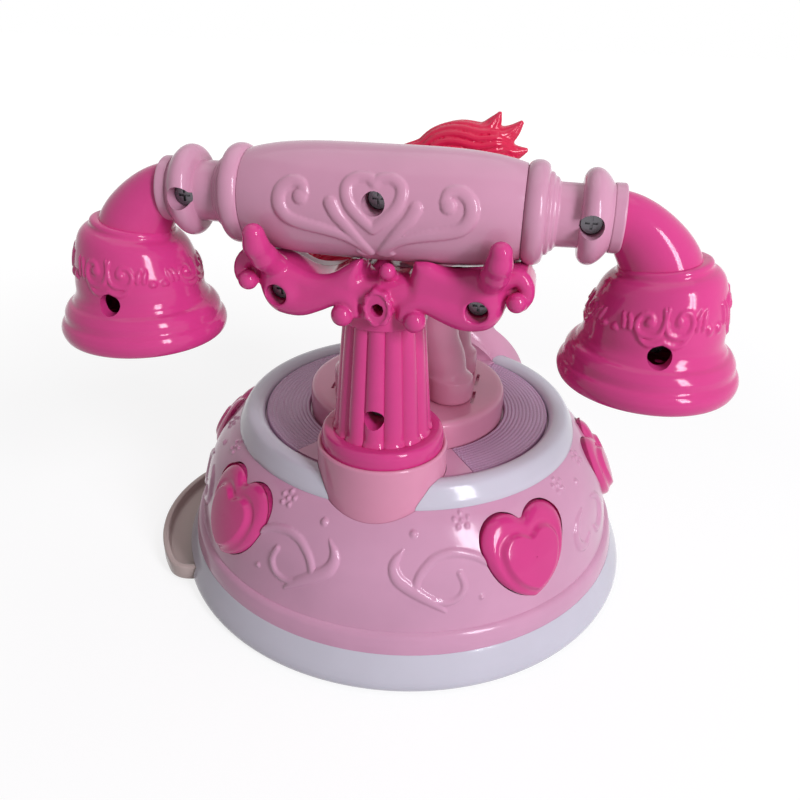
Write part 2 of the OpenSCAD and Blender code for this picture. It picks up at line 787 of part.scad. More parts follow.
module handset_rear_shell() color(pale_pink) difference() {
    union() {
        rear_half(handset_y) handset_solid();
        from_rear(0, handset_y + 1.2, grip_screw_z) cylinder(r = well_r + 1.4, h = grip_r - 4);
    }
    from_rear(0, handset_y + 6, grip_screw_z) screw_well(far, 7);
    for (s = [-1, 1])
        from_rear(s * clamp_screw_x, handset_y + 5, handset_z) screw_well(far, 6);
}

module handset_front_shell() color(pale_pink) difference() {
    union() {
        front_half(handset_y) handset_solid();
        translate([0, handset_y + 1, grip_screw_z]) rotate([90, 0, 0])
            cylinder(r = 3, h = grip_r - 1);
    }
    for (s = [-1, 0, 1])
        translate([s * clamp_screw_x, handset_y + 1 + e, s == 0 ? grip_screw_z : handset_z])
            rotate([90, 0, 0]) cylinder(r = shank_r + 0.05, h = 10, $fn = 32);
}

function bell_outline() = smooth([
    [bell_r - 3.8, 0], [bell_r - 0.9, bell_h * 0.06], [bell_r, bell_h * 0.14],
    [bell_r - 0.8, bell_h * 0.23], [bell_r - 3.1, bell_h * 0.32], [bell_r - 5.7, bell_h * 0.43],
    [bell_r - 6.1, bell_h * 0.55], [bell_r - 6.9, bell_h * 0.68], [bell_r - 8.3, bell_h * 0.8],
    [bell_r - 9.7, bell_h * 0.9], [bell_r - 12.3, bell_h]
], 2);

module bell_solid() {
    translate([bell_x, handset_y, bell_z]) difference() {
        rotate_extrude($fn = 96)
            polygon(concat([[0, 0]], bell_outline(), [[0, bell_h]]));
        rotate_extrude($fn = 96) polygon(concat(
            [[0, -e], [mouth_r, -e], [mouth_r, bell_h * 0.14]],
            [for (p = inset(bell_outline(), wall)) if (p[1] > bell_h * 0.3 && p[1] < bell_h * 0.88) p],
            [[0, bell_h * 0.88]]
        ));
    }
    translate([elbow_x, handset_y, handset_z - bend_r]) rotate([90, 0, 0])
        rotate_extrude(angle = 90) translate([bend_r, 0]) circle(r = elbow_r, $fn = 64);
    translate([socket_x + 0.3, handset_y, handset_z]) rotate([0, 90, 0])
        cylinder(r = elbow_r - 2, h = elbow_x - socket_x);
    translate([sleeve_end + 0.15, handset_y, handset_z]) rotate([0, 90, 0])
        cylinder(r = elbow_r, h = elbow_x - sleeve_end);
}

module bell_rear() {
    difference() {
        union() {
            rear_half(handset_y) bell_solid();
            from_rear(bell_x, handset_y + 1.2, bell_screw_z)
                cylinder(r = well_r + 1.4, h = bell_r - 9);
        }
        from_rear(bell_x, handset_y + 7, bell_screw_z) screw_well(far, 8);
    }
}

module bell_front() {
    difference() {
        union() {
            front_half(handset_y) bell_solid();
            translate([bell_x, handset_y + 1, bell_screw_z]) rotate([90, 0, 0])
                cylinder(r = 3, h = bell_r - 7);
        }
        translate([bell_x, handset_y + 1 + e, bell_screw_z]) rotate([90, 0, 0])
            cylinder(r = shank_r + 0.05, h = 10, $fn = 32);
    }
}

module grille() {
    translate([bell_x, handset_y, bell_z + grille_z]) difference() {
        union() {
            cylinder(r = mouth_r - fit, h = grille_t, $fn = 96);
            translate([0, 0, grille_t - e]) cylinder(r = mouth_r - 3, h = 1.5);
        }
        translate([0, 0, grille_t]) cylinder(r = mouth_r - 5, h = 10);
        cylinder(r = 1.1, h = 20, center = true, $fn = 20);
        for (k = [1, 2], i = [0 : 6 * k - 1])
            rotate([0, 0, i * 60 / k]) translate([4.6 * k, 0, -1])
                cylinder(r = 1.1, h = 10, $fn = 20);
    }
}

module left_bell_rear() color(hot_pink) bell_rear();
module left_bell_front() color(hot_pink) bell_front();
module right_bell_rear() color(hot_pink) mirror([1, 0, 0]) bell_rear();
module right_bell_front() color(hot_pink) mirror([1, 0, 0]) bell_front();
module left_grille() color(hot_pink) grille();
module right_grille() color(hot_pink) mirror([1, 0, 0]) grille();

module handset_screws() color(steel) {
    from_rear(0, handset_y + 6 + e, grip_screw_z) screw(12);
    for (s = [-1, 1]) {
        from_rear(s * clamp_screw_x, handset_y + 5 + e, handset_z) screw(11);
        from_rear(s * bell_x, handset_y + 7 + e, bell_screw_z) screw(13);
    }
}

// ---- dial ---------------------------------------------------------------

// Hood outline, a disc with a rounded back, made larger by d
module hood_disc(d) {
    at_dial() translate([0, -hood_drop, 0]) rotate_extrude($fn = 120) polygon([
        [0, d], [hood_r + d, d], [hood_r + d, -4], [hood_r - 1.2 + d, -7.5],
        [hood_r - 4 + d, -10.6], [hood_r - 8.5 + d, -13], [hood_r - 14, -hood_depth - d],
        [0, -hood_depth - d]
    ]);
}

module hood_space() {
    intersection() {
        hood_disc(fit);
        translate([-far, -far, hood_z - fit]) cube([2 * far, far, far]);
    }
}

module dial_housing() color(pale_pink) difference() {
    union() {
        intersection() {
            hood_disc(0);
            translate([-far, -far, hood_z]) cube([2 * far, far, far]);
        }
        at_dial() translate([0, 0, -dial_depth])
            cylinder(r = dial_r, h = dial_depth + dial_rim, $fn = 120);
    }
    at_dial() {
        translate([0, 0, wall - dial_depth]) cylinder(r = dial_r - 4.2, h = 30);
        translate([0, 0, 0.5]) cylinder(r = dial_r - 2, h = 30, $fn = 120);
        rotate([0, 0, stop_angle]) translate([dial_r - 3, -stop_w / 2 - fit, stop_z - 0.4 - fit])
            cube([stop_out + fit - dial_r + 3, stop_w + 2 * fit, 10]);
    }
}

module number_plate() color("white") at_dial() {
    translate([0, 0, 0.5]) cylinder(r = dial_r - 2 - fit, h = 1.5, $fn = 120);
    translate([0, 0, 1.9]) cylinder(r = post_pin, h = wheel_z + wheel_t - 1.9 + 0.2);
}

module finger_wheel() color(hot_pink) at_dial() difference() {
    translate([0, 0, wheel_z]) cylinder(r = wheel_r, h = wheel_t, $fn = 120);
    translate([0, 0, wheel_z - 1]) cylinder(r = post_pin + run, h = 10);
    for (i = [0 : finger_holes - 1])
        rotate([0, 0, first_hole + i * 300 / finger_holes])
            translate([wheel_r - 8.4, 0, wheel_z - 1]) cylinder(r = finger_hole_r, h = 10, $fn = 48);
}

module dial_hub() color(pearl) at_dial() translate([0, 0, wheel_z + wheel_t + run]) {
    rotate_extrude($fn = 64) polygon([
        [0, 0], [hub_r, 0], [hub_r, 0.8], [hub_r - 1.2, 1.7], [0, 2.2]
    ]);
}

module finger_stop() color(steel) at_dial() rotate([0, 0, stop_angle]) {
    translate([stop_in, -stop_w / 2, stop_z]) cube([stop_out - stop_in, stop_w, 1.4]);
    translate([dial_r - 2 + fit, -stop_w / 2, stop_z - 0.4])
        cube([stop_out - dial_r + 2 - fit, stop_w, 0.4 + e]);
}

// ---- tray ---------------------------------------------------------------

// Outline of the tray with a bowed front, made smaller by d
module tray_outline(d) {
    w = tray_half - d;
    r = tray_arc - d;
    c = tray_corner - d;
    u0 = tray_front - tray_arc;
    uc = u0 + sqrt(pow(r - c, 2) - pow(w - c, 2));
    b = atan2(w - c, uc - u0);
    polygon(concat(
        [[tray_back + d, -w]],
        [for (i = [0 : 6]) let (a = -90 + (90 - b) * i / 6) [uc + c * cos(a), -(w - c) + c * sin(a)]],
        [for (i = [1 : 15]) let (a = -b + 2 * b * i / 16) [u0 + r * cos(a), r * sin(a)]],
        [for (i = [0 : 6]) let (a = b + (90 - b) * i / 6) [uc + c * cos(a), (w - c) + c * sin(a)]],
        [[tray_back + d, w]]
    ));
}

module trinket_tray() color(cream) at_tray() difference() {
    translate([0, 0, tray_z]) linear_extrude(height = tray_h) tray_outline(0);
    translate([0, 0, tray_z + tray_wall - 1]) linear_extrude(height = 10) tray_outline(tray_wall);
}

// ---- figure -------------------------------------------------------------

// Rounded limb of the figure through spheres, each [x, y, z, r]
module flesh(p, n) {
    for (i = [0 : len(p) - 2]) hull() {
        translate([p[i][0], p[i][1], p[i][2]]) sphere(r = p[i][3], $fn = n);
        translate([p[i + 1][0], p[i + 1][1], p[i + 1][2]]) sphere(r = p[i + 1][3], $fn = n);
    }
}

module hoof_leg(x, y, hip) {
    flesh([[x, y, hip, 8.4], [x * 1.22, y + 1, hip - 16, 7.2], [x * 1.25, y, stage_top + 14, 6.2]], 14);
    translate([x * 1.32, y, stage_top]) cylinder(r1 = 8, r2 = 6, h = 15, $fn = 24);
}

module pony_body() color(flesh_pink) {
    hip = stage_top + 42;
    hoof_leg(13, 10, hip);
    hoof_leg(-13, 10, hip);
    hoof_leg(9, -22, hip - 2);
    hoof_leg(-9, -22, hip - 2);
    flesh([[0, 8, hip + 4, 13], [0, -6, hip + 2, 12], [0, -20, hip + 2, 12]], 18);
    flesh([[0, -20, hip + 4, 10], [-4, -23, hip + 22, 7.5], [-8, -24, hip + 36, 7]], 16);
    flesh([[-8, -24, hip + 36, 7], [-14, -31, hip + 30, 5], [-17, -35, hip + 27, 4.2]], 14);
}

module pony_mane() color(crimson) {
    z = stage_top + 79.5;
    flesh([
        [4, -18, z - 4.5, 5.4], [-4, -19, z - 2, 6], [-10, -20, z, 7.6], [-19, -20, z, 6.4],
        [-24, -20, z - 0.5, 4]
    ], 14);
    flesh([[-21, -20, z + 1.5, 3.8], [-24.3, -20, z + 8.8, 1.6]], 10);
    flesh([[-24, -20, z + 1, 3.2], [-30.4, -20, z + 6.4, 1.6]], 10);
    flesh([[-24, -20, z - 1, 3.4], [-32.2, -20, z - 1.8, 1.9]], 10);
}

module pony_tail() color(crimson)
    flesh([[0, 20, stage_top + 50, 4], [2, 23, stage_top + 40, 5], [4, 24.5, stage_top + 26, 3.6]], 14);

foot_ring();
base_plate();
battery_door();
battery_cells();
battery_contacts();
circuit_board();
base_speaker();
power_switch();
rubber_feet();
base_screws();
dome_shell();
upper_ring();
top_deck();
lens_left();
lens_right();
led_lamps();
stage_disc();
pony_body();
pony_mane();
pony_tail();
rear_cup();
column_rear();
column_front();
column_screw();
hook_switch();
hook_plunger();
cradle_rear();
cradle_front();
cradle_screws();
heart_button(1);  // heart_button_1
heart_button(2);  // heart_button_2
heart_button(3);  // heart_button_3
heart_button(4);  // heart_button_4
dial_housing();
number_plate();
finger_wheel();
dial_hub();
finger_stop();
trinket_tray();
handset_rear_shell();
handset_front_shell();
left_bell_rear();
left_bell_front();
right_bell_rear();
right_bell_front();
left_grille();
right_grille();
handset_screws();
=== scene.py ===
"""Looks of the princess-style toy telephone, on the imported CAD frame.

Shapes are drawn in millimetres, in the CAD's own frame, and become metres when
their mesh is made. +Z is up, X runs along the handset, +Y is the column side.
"""
import math

import bmesh
import bpy
import numpy as np
from mathutils import Matrix, Vector


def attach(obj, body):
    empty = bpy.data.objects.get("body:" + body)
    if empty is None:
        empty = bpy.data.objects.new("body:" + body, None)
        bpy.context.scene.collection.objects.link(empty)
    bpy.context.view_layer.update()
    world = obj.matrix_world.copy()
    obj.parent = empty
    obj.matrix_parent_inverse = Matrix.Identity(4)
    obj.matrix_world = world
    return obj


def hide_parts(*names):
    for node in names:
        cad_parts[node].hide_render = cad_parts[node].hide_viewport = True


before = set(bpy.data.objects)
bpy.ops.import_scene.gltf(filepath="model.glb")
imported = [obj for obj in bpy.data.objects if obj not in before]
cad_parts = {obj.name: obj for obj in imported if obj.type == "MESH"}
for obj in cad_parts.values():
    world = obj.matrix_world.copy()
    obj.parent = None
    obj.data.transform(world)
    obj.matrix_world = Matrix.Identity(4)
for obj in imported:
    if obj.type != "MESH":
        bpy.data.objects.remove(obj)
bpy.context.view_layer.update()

MM = 0.001
ROOT = "phone"
# Radius in mm that stands for the axis of a turned shape
AXIS = 0.004

# ---- camera, light and floor ---------------------------------------------


def add_camera():
    """Camera of the back view, fitted to the outlines of the phone."""
    data = bpy.data.cameras.new("camera")
    data.lens = 34.08
    data.sensor_width = 36
    data.clip_start = 0.01
    data.clip_end = 20
    cam = bpy.data.objects.new("camera", data)
    right = Vector((-0.98179, -0.18855, 0.02354))
    up = Vector((0.10750, -0.44905, 0.88702))
    back = Vector((-0.15667, 0.87339, 0.46113))
    turn = Matrix((right, up, back)).transposed().to_4x4()
    cam.matrix_world = Matrix.Translation((-0.04092, 0.24307, 0.18661)) @ turn
    bpy.context.collection.objects.link(cam)
    bpy.context.scene.camera = cam


def add_lamp(name, place, target, width, height, power, colour=(1, 1, 1)):
    """A soft rectangular lamp at place that looks at target."""
    data = bpy.data.lights.new(name, "AREA")
    data.shape = "RECTANGLE"
    data.size = width
    data.size_y = height
    data.energy = power
    data.color = colour
    lamp = bpy.data.objects.new(name, data)
    look = Vector(target) - Vector(place)
    lamp.matrix_world = Matrix.Translation(place) @ look.to_track_quat("-Z", "Y").to_matrix().to_4x4()
    bpy.context.collection.objects.link(lamp)


def ray_share(tree):
    """1 for what the camera, a mirror or clear plastic shows, 0 for what lights the phone."""
    path = tree.nodes.new("ShaderNodeLightPath")
    share = path.outputs["Is Camera Ray"]
    for kind in ("Is Glossy Ray", "Is Transmission Ray"):
        add = tree.nodes.new("ShaderNodeMath")
        add.operation = "ADD"
        add.use_clamp = True
        tree.links.new(share, add.inputs[0])
        tree.links.new(path.outputs[kind], add.inputs[1])
        share = add.outputs[0]
    return share


def add_world():
    """Even light all round, and plain white behind the phone."""
    world = bpy.data.worlds.new("world")
    world.use_nodes = True
    bpy.context.scene.world = world
    tree = world.node_tree
    tree.nodes.clear()
    out = tree.nodes.new("ShaderNodeOutputWorld")
    mix = tree.nodes.new("ShaderNodeMixShader")
    dim = tree.nodes.new("ShaderNodeBackground")
    dim.inputs["Color"].default_value = (1.0, 0.93, 0.94, 1)
    dim.inputs["Strength"].default_value = 0.24
    white = tree.nodes.new("ShaderNodeBackground")
    white.inputs["Color"].default_value = (1, 1, 1, 1)
    white.inputs["Strength"].default_value = 1.0
    tree.links.new(ray_share(tree), mix.inputs[0])
    tree.links.new(dim.outputs[0], mix.inputs[1])
    tree.links.new(white.outputs[0], mix.inputs[2])
    tree.links.new(mix.outputs[0], out.inputs[0])


def add_floor():
    """Pale floor that keeps the shadow and goes over into the white behind it."""
    mesh = bpy.data.meshes.new("floor")
    mesh.from_pydata([(-4, -4, 0), (4, -4, 0), (4, 4, 0), (-4, 4, 0)], [], [(0, 1, 2, 3)])
    floor = bpy.data.objects.new("floor", mesh)
    bpy.context.collection.objects.link(floor)
    mat = bpy.data.materials.new("floor")
    mat.use_nodes = True
    tree = mat.node_tree
    tree.nodes.clear()
    out = tree.nodes.new("ShaderNodeOutputMaterial")
    mix = tree.nodes.new("ShaderNodeMixShader")
    plain = tree.nodes.new("ShaderNodeBsdfDiffuse")
    plain.inputs["Color"].default_value = (0.6, 0.6, 0.6, 1)
    add = tree.nodes.new("ShaderNodeAddShader")
    shade = tree.nodes.new("ShaderNodeBsdfDiffuse")
    shade.inputs["Color"].default_value = (0.25, 0.25, 0.25, 1)
    glow = tree.nodes.new("ShaderNodeEmission")
    far = tree.nodes.new("ShaderNodeVectorMath")
    far.operation = "LENGTH"
    rise = tree.nodes.new("ShaderNodeMapRange")
    rise.inputs["From Min"].default_value = 0.2
    rise.inputs["From Max"].default_value = 0.8
    rise.inputs["To Min"].default_value = 0.80
    rise.inputs["To Max"].default_value = 1.0
    tree.links.new(tree.nodes.new("ShaderNodeTexCoord").outputs["Object"], far.inputs[0])
    tree.links.new(far.outputs["Value"], rise.inputs["Value"])
    tree.links.new(rise.outputs["Result"], glow.inputs["Strength"])
    tree.links.new(shade.outputs[0], add.inputs[0])
    tree.links.new(glow.outputs[0], add.inputs[1])
    tree.links.new(ray_share(tree), mix.inputs[0])
    tree.links.new(plain.outputs[0], mix.inputs[1])
    tree.links.new(add.outputs[0], mix.inputs[2])
    tree.links.new(mix.outputs[0], out.inputs[0])
    mesh.materials.append(mat)


# ---- materials -------------------------------------------------------------


def linear(rgb):
    """Linear colour of an 8-bit sRGB colour."""
    c = np.array(rgb, float) / 255
    c = np.where(c <= 0.04045, c / 12.92, ((c + 0.055) / 1.055) ** 2.4)
    return (*c, 1)


def noise(tree, coords, scale, detail, rough=0.5):
    node = tree.nodes.new("ShaderNodeTexNoise")
    node.inputs["Scale"].default_value = scale
    node.inputs["Detail"].default_value = detail
    node.inputs["Roughness"].default_value = rough
    tree.links.new(coords, node.inputs["Vector"])
    return node.outputs["Fac"]


def span(tree, value, low, high):
    """value, from about 0.3 to 0.7, spread over low to high."""
    node = tree.nodes.new("ShaderNodeMapRange")
    node.inputs["From Min"].default_value = 0.3
    node.inputs["From Max"].default_value = 0.7
    node.inputs["To Min"].default_value = low
    node.inputs["To Max"].default_value = high
    tree.links.new(value, node.inputs["Value"])
    return node.outputs["Result"]


def moulded(name, rgb, rough=0.14, vary=0.05, grain=0.05, wave=0.06, subsurface=0.0, metal=0.0):
    """Moulded plastic: a little uneven in colour and gloss, with faint waves and grain."""
    mat = bpy.data.materials.new(name)
    mat.use_nodes = True
    tree = mat.node_tree
    shader = tree.nodes["Principled BSDF"]
    shader.inputs["Metallic"].default_value = metal
    shader.inputs["IOR"].default_value = 1.5
    shader.inputs["Specular IOR Level"].default_value = 0.5 if metal else 0.28
    if subsurface:
        shader.inputs["Subsurface Weight"].default_value = subsurface
        shader.inputs["Subsurface Radius"].default_value = (1.0, 0.6, 0.7)
        shader.inputs["Subsurface Scale"].default_value = 0.002
    coords = tree.nodes.new("ShaderNodeTexCoord").outputs["Object"]
    tint = tree.nodes.new("ShaderNodeMix")
    tint.data_type = "RGBA"
    base = linear(rgb)
    tint.inputs["A"].default_value = (*[c * (1 - vary) for c in base[:3]], 1)
    tint.inputs["B"].default_value = (*[min(c * (1 + vary), 1) for c in base[:3]], 1)
    tree.links.new(span(tree, noise(tree, coords, 42, 3), 0, 1), tint.inputs["Factor"])
    tree.links.new(tint.outputs["Result"], shader.inputs["Base Color"])
    gloss = span(tree, noise(tree, coords, 160, 4, 0.6), max(rough - 0.03, 0.02), rough + 0.03)
    tree.links.new(gloss, shader.inputs["Roughness"])
    low = tree.nodes.new("ShaderNodeBump")
    low.inputs["Strength"].default_value = wave
    low.inputs["Distance"].default_value = 0.0012
    tree.links.new(noise(tree, coords, 55, 1), low.inputs["Height"])
    fine = tree.nodes.new("ShaderNodeBump")
    fine.inputs["Strength"].default_value = grain
    fine.inputs["Distance"].default_value = 0.00008
    tree.links.new(noise(tree, coords, 1500, 2), fine.inputs["Height"])
    tree.links.new(low.outputs["Normal"], fine.inputs["Normal"])
    tree.links.new(fine.outputs["Normal"], shader.inputs["Normal"])
    return mat


def make_materials():
    """One material for each finish, by a short name."""
    return {
        "dome": moulded("pink_moulding", (206, 153, 180), 0.14, subsurface=0.04),
        "pale": moulded("pale_pink_moulding", (205, 148, 173), 0.15, subsurface=0.04),
        "hot": moulded("hot_pink_moulding", (208, 60, 132), 0.11, subsurface=0.03),
        "flesh": moulded("flesh_pink_moulding", (216, 144, 171), 0.14, subsurface=0.05),
        "pearl": moulded("pearl_moulding", (200, 198, 208), 0.14, vary=0.03, subsurface=0.06),
        "lilac": moulded("lilac_lens", (178, 140, 170), 0.12, grain=0.02, wave=0.03, subsurface=0.2),
        "crimson": moulded("crimson_moulding", (216, 30, 76), 0.16),
        "cream": moulded("cream_moulding", (190, 172, 166), 0.24),
        "white": moulded("white_moulding", (226, 224, 228), 0.18, vary=0.02),
        "black": moulded("black_moulding", (34, 33, 36), 0.35),
        "rubber": moulded("rubber_pad", (52, 50, 52), 0.7, grain=0.4),
        "board": moulded("board_lacquer", (40, 112, 72), 0.3),
        "sleeve": moulded("cell_sleeve", (150, 155, 168), 0.35, metal=0.4),
        # painted shade: this metal is kept darker than bare zinc, to stand in for the shade the screws sit in
        # and the dark they reflect; the finger stop and the battery contacts share it
        "steel": moulded("zinc_screw", (104, 101, 106), 0.26, metal=1.0, grain=0.3),
        "ink": moulded("digit_ink", (176, 44, 116), 0.3),
    }


# ---- meshes ----------------------------------------------------------------


def new_object(name, verts, faces):
    """Closed mesh from points in mm and quads, with its faces turned outwards."""
    verts = np.asarray(verts, float)
    faces = np.asarray(faces, int)
    a, b, c = (verts[faces[:, k]] for k in range(3))
    d = verts[faces[:, -1]]
    volume = np.einsum("ij,ij->i", a, np.cross(b, c)).sum() + np.einsum("ij,ij->i", a, np.cross(c, d)).sum()
    if volume < 0:
        faces = faces[:, ::-1]
    mesh = bpy.data.meshes.new(name)
    mesh.vertices.add(len(verts))
    mesh.vertices.foreach_set("co", (verts * MM).ravel())
    sides = faces.shape[1]
    mesh.loops.add(faces.size)
    mesh.loops.foreach_set("vertex_index", faces.ravel())
    mesh.polygons.add(len(faces))
    mesh.polygons.foreach_set("loop_start", np.arange(0, faces.size, sides))
    mesh.update(calc_edges=True)
    mesh.validate()
    obj = bpy.data.objects.new(name, mesh)
    bpy.context.collection.objects.link(obj)
    return obj


def boolean(obj, operation, *others):
    """obj with the others cut out of it, joined to it or shared with it. The others are used up."""
    for other in others:
        mod = obj.modifiers.new("boolean", "BOOLEAN")
        mod.operation = operation
        mod.solver = "MANIFOLD"
        mod.object = other
    graph = bpy.context.evaluated_depsgraph_get()
    mesh = bpy.data.meshes.new_from_object(obj.evaluated_get(graph))
    obj.modifiers.clear()
    if len(mesh.polygons) == 0:
        raise RuntimeError("empty after a boolean: " + obj.name)
    old = obj.data
    obj.data = mesh
    bpy.data.meshes.remove(old)
    for other in others:
        bpy.data.objects.remove(other)
    return obj


def copy_of(obj, name):
    twin = bpy.data.objects.new(name, obj.data.copy())
    bpy.context.collection.objects.link(twin)
    return twin


def dress(obj, material, body, slot, *nodes, crease=50):
    """Smooth shading, material, body and the CAD nodes that obj stands for."""
    mesh = obj.data
    mesh.materials.clear()
    mesh.materials.append(material)
    mesh.shade_smooth()
    mesh.set_sharp_from_angle(angle=math.radians(crease))
    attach(obj, body)
    if nodes:
        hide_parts(*nodes)
    return obj


def catmull(points, step):
    """Points every step mm along a smooth curve through the given ones. Works in any dimension."""
    p = np.asarray(points, float)
    p = np.vstack([2 * p[0] - p[1], p, 2 * p[-1] - p[-2]])
    out = []
    for i in range(1, len(p) - 2):
        t = np.linspace(0, 1, 24, endpoint=False)[:, None]
        a, b, c, d = p[i - 1], p[i], p[i + 1], p[i + 2]
        out.append(0.5 * (2 * b + (c - a) * t + (2 * a - 5 * b + 4 * c - d) * t ** 2
                          + (3 * b - a - 3 * c + d) * t ** 3))
    out = np.vstack(out + [p[-2:-1]])
    return even(out, step)


def even(points, step):
    """The same line with evenly spaced points."""
    points = np.asarray(points, float)
    s = np.concatenate([[0], np.cumsum(np.linalg.norm(np.diff(points, axis=0), axis=1))])
    n = max(int(round(s[-1] / step)), 2)
    t = np.linspace(0, s[-1], n + 1)
    return np.stack([np.interp(t, s, points[:, k]) for k in range(points.shape[1])], 1)


def lathe(profile, n):
    """Closed outline (radius, z) turned about Z into points and quads."""
    p = np.asarray(profile, float)
    a = np.radians(360.0 * np.arange(n) / n)
    verts = np.stack([
        np.outer(np.cos(a), p[:, 0]), np.outer(np.sin(a), p[:, 0]), np.tile(p[:, 1], (len(a), 1))
    ], 2)
    m = len(p)
    i = np.arange(n)
    j = np.arange(m)
    i2 = (i + 1) % n
    quads = np.stack([
        (i[:, None] * m + j).ravel(), (i2[:, None] * m + j).ravel(),
        (i2[:, None] * m + (j + 1) % m).ravel(), (i[:, None] * m + (j + 1) % m).ravel()
    ], 1)
    return verts.reshape(-1, 3), quads


def ring_quads(n, m):
    """Quads between m rings of n points each. The last ring joins the first."""
    i = np.arange(n)
    j = (i + 1) % n
    return np.concatenate([np.stack([k * n + i, k * n + j, (k + 1) % m * n + j, (k + 1) % m * n + i], 1)
                           for k in range(m)])


def turned_normals(loop, n, tiny=0.0):
    """Outward directions at the points that lathe makes of a closed outline."""
    tangent = np.gradient(loop, axis=0)
    normal = np.column_stack([tangent[:, 1], -tangent[:, 0]])
    normal /= np.linalg.norm(normal, axis=1)[:, None] + tiny
    a = 2 * np.pi * np.arange(n) / n
    return np.stack([np.outer(np.cos(a), normal[:, 0]), np.outer(np.sin(a), normal[:, 0]),
                     np.tile(normal[:, 1], (n, 1))], 2).reshape(-1, 3)


def lathe_axis(profile, n):
    """Open outline (radius, z) whose two ends lie on the axis, turned into a closed shape."""
    p = np.array(profile, float)
    p[0, 0] = p[-1, 0] = AXIS
    return lathe(p, n)


def rounded(points, radius, steps=6):
    """A closed outline with its corners rounded. A radius may be given for each corner."""
    p = np.asarray(points, float)
    radii = np.broadcast_to(radius, (len(p),))
    out = []
    for i in range(len(p)):
        a, b, c = p[i - 1], p[i], p[(i + 1) % len(p)]
        u, v = a - b, c - b
        lu, lv = np.linalg.norm(u), np.linalg.norm(v)
        u, v = u / lu, v / lv
        r = min(radii[i], 0.49 * lu, 0.49 * lv)
        if r < 1e-3:
            out.append(b)
            continue
        for t in np.linspace(0, 1, steps + 1):
            out.append((1 - t) ** 2 * (b + u * r) + 2 * t * (1 - t) * b + t ** 2 * (b + v * r))
    return np.array(out)


def prism(name, outline, low, high, place=None):
    """Closed prism over an outline, from low to high along its own Z."""
    p = np.asarray(outline, float)
    n = len(p)
    centre = p.mean(0)
    verts = np.vstack([
        np.column_stack([p, np.full(n, low)]), np.column_stack([p, np.full(n, high)]),
        [[*centre, low], [*centre, high]]
    ])
    i = np.arange(n)
    j = (i + 1) % n
    mesh = bpy.data.meshes.new(name)
    faces = [(int(b), int(a), 2 * n) for a, b in zip(i, j)]
    faces += [(int(n + a), int(n + b), 2 * n + 1) for a, b in zip(i, j)]
    faces += [(int(a), int(b), int(n + b), int(n + a)) for a, b in zip(i, j)]
    area = 0.5 * np.sum(p[:, 0] * np.roll(p[:, 1], -1) - p[:, 1] * np.roll(p[:, 0], -1))
    if area < 0:
        faces = [f[::-1] for f in faces]
    if place is not None:
        verts = moved(verts, place)
    mesh.from_pydata((verts * MM).tolist(), [], faces)
    obj = bpy.data.objects.new(name, mesh)
    bpy.context.collection.objects.link(obj)
    return obj


def circle(r, n):
    a = 2 * np.pi * np.arange(n) / n
    return np.column_stack([r * np.cos(a), r * np.sin(a)])


def moved(verts, place):
    """Points in mm moved by a 4 by 4 matrix in mm."""
    m = np.array(place)
    return verts @ m[:3, :3].T + m[:3, 3]


def block(name, low, high):
    low, high = np.array(low, float), np.array(high, float)
    return prism(name, [(low[0], low[1]), (high[0], low[1]), (high[0], high[1]), (low[0], high[1])],
                 low[2], high[2])


def rod(name, r, low, high, place, n=48):
    return prism(name, circle(r, n), low, high, place)


def at(x, y, z, *turns):
    """Matrix that moves to x, y, z, then turns: pairs of axis letter and degrees."""
    m = Matrix.Translation((x, y, z))
    for axis, angle in turns:
        m = m @ Matrix.Rotation(math.radians(angle), 4, axis)
    return m


def rearward(x, y, z):
    """Local Z runs to the rear from x, y, z."""
    return at(x, y, z, ("X", -90))


def halves(obj, y, gap=0.05):
    """The rear and the front half of obj, parted at y with a fine seam."""
    big = 400
    front = copy_of(obj, obj.name + "_front")
    front = boolean(front, "INTERSECT", block("half", (-big, y - big, -big), (big, y - gap, big)))
    rear = boolean(obj, "INTERSECT", block("half", (-big, y + gap, -big), (big, y + big, big)))
    return rear, front


# ---- reliefs ---------------------------------------------------------------


def stroke(points, widths, step=0.25):
    """Smooth line of a relief: its points, and half width and height at each, as rows."""
    p = np.asarray(points, float)
    w = np.interp(np.linspace(0, 1, len(p)), np.linspace(0, 1, len(widths)), widths)
    return catmull(np.column_stack([p, w]), step)


def dot(x, y, r):
    return np.array([[x, y, r], [x, y, r]])


def on_surface(lines, to_space):
    """Lines drawn in the surface's own two numbers, as points in space with half widths."""
    return [np.column_stack([to_space(l[:, 0], l[:, 1]), l[:, 2]]) for l in lines]


def relief(base, lines, height, power=0.6, share=0.7):
    """How far each point of base stands out for the lines of a relief."""
    out = np.zeros(len(base))
    if not lines:
        return out
    widest = max(l[:, 3].max() for l in lines)
    for line in lines:
        pts, wid = line[:, :3], line[:, 3]
        pad = wid.max()
        near = np.flatnonzero(((base > pts.min(0) - pad) & (base < pts.max(0) + pad)).all(1))
        for k in range(0, len(near), 8000):
            i = near[k:k + 8000]
            d = np.linalg.norm(base[i, None] - pts[None], axis=2) / wid[None]
            j = d.argmin(1)
            q = d[np.arange(len(i)), j]
            h = np.clip(1 - q * q, 0, 1) ** power * (wid[j] / widest) ** share
            out[i] = np.maximum(out[i], h * height)
    return out


# ---- smooth solids from distance fields --------------------------------------


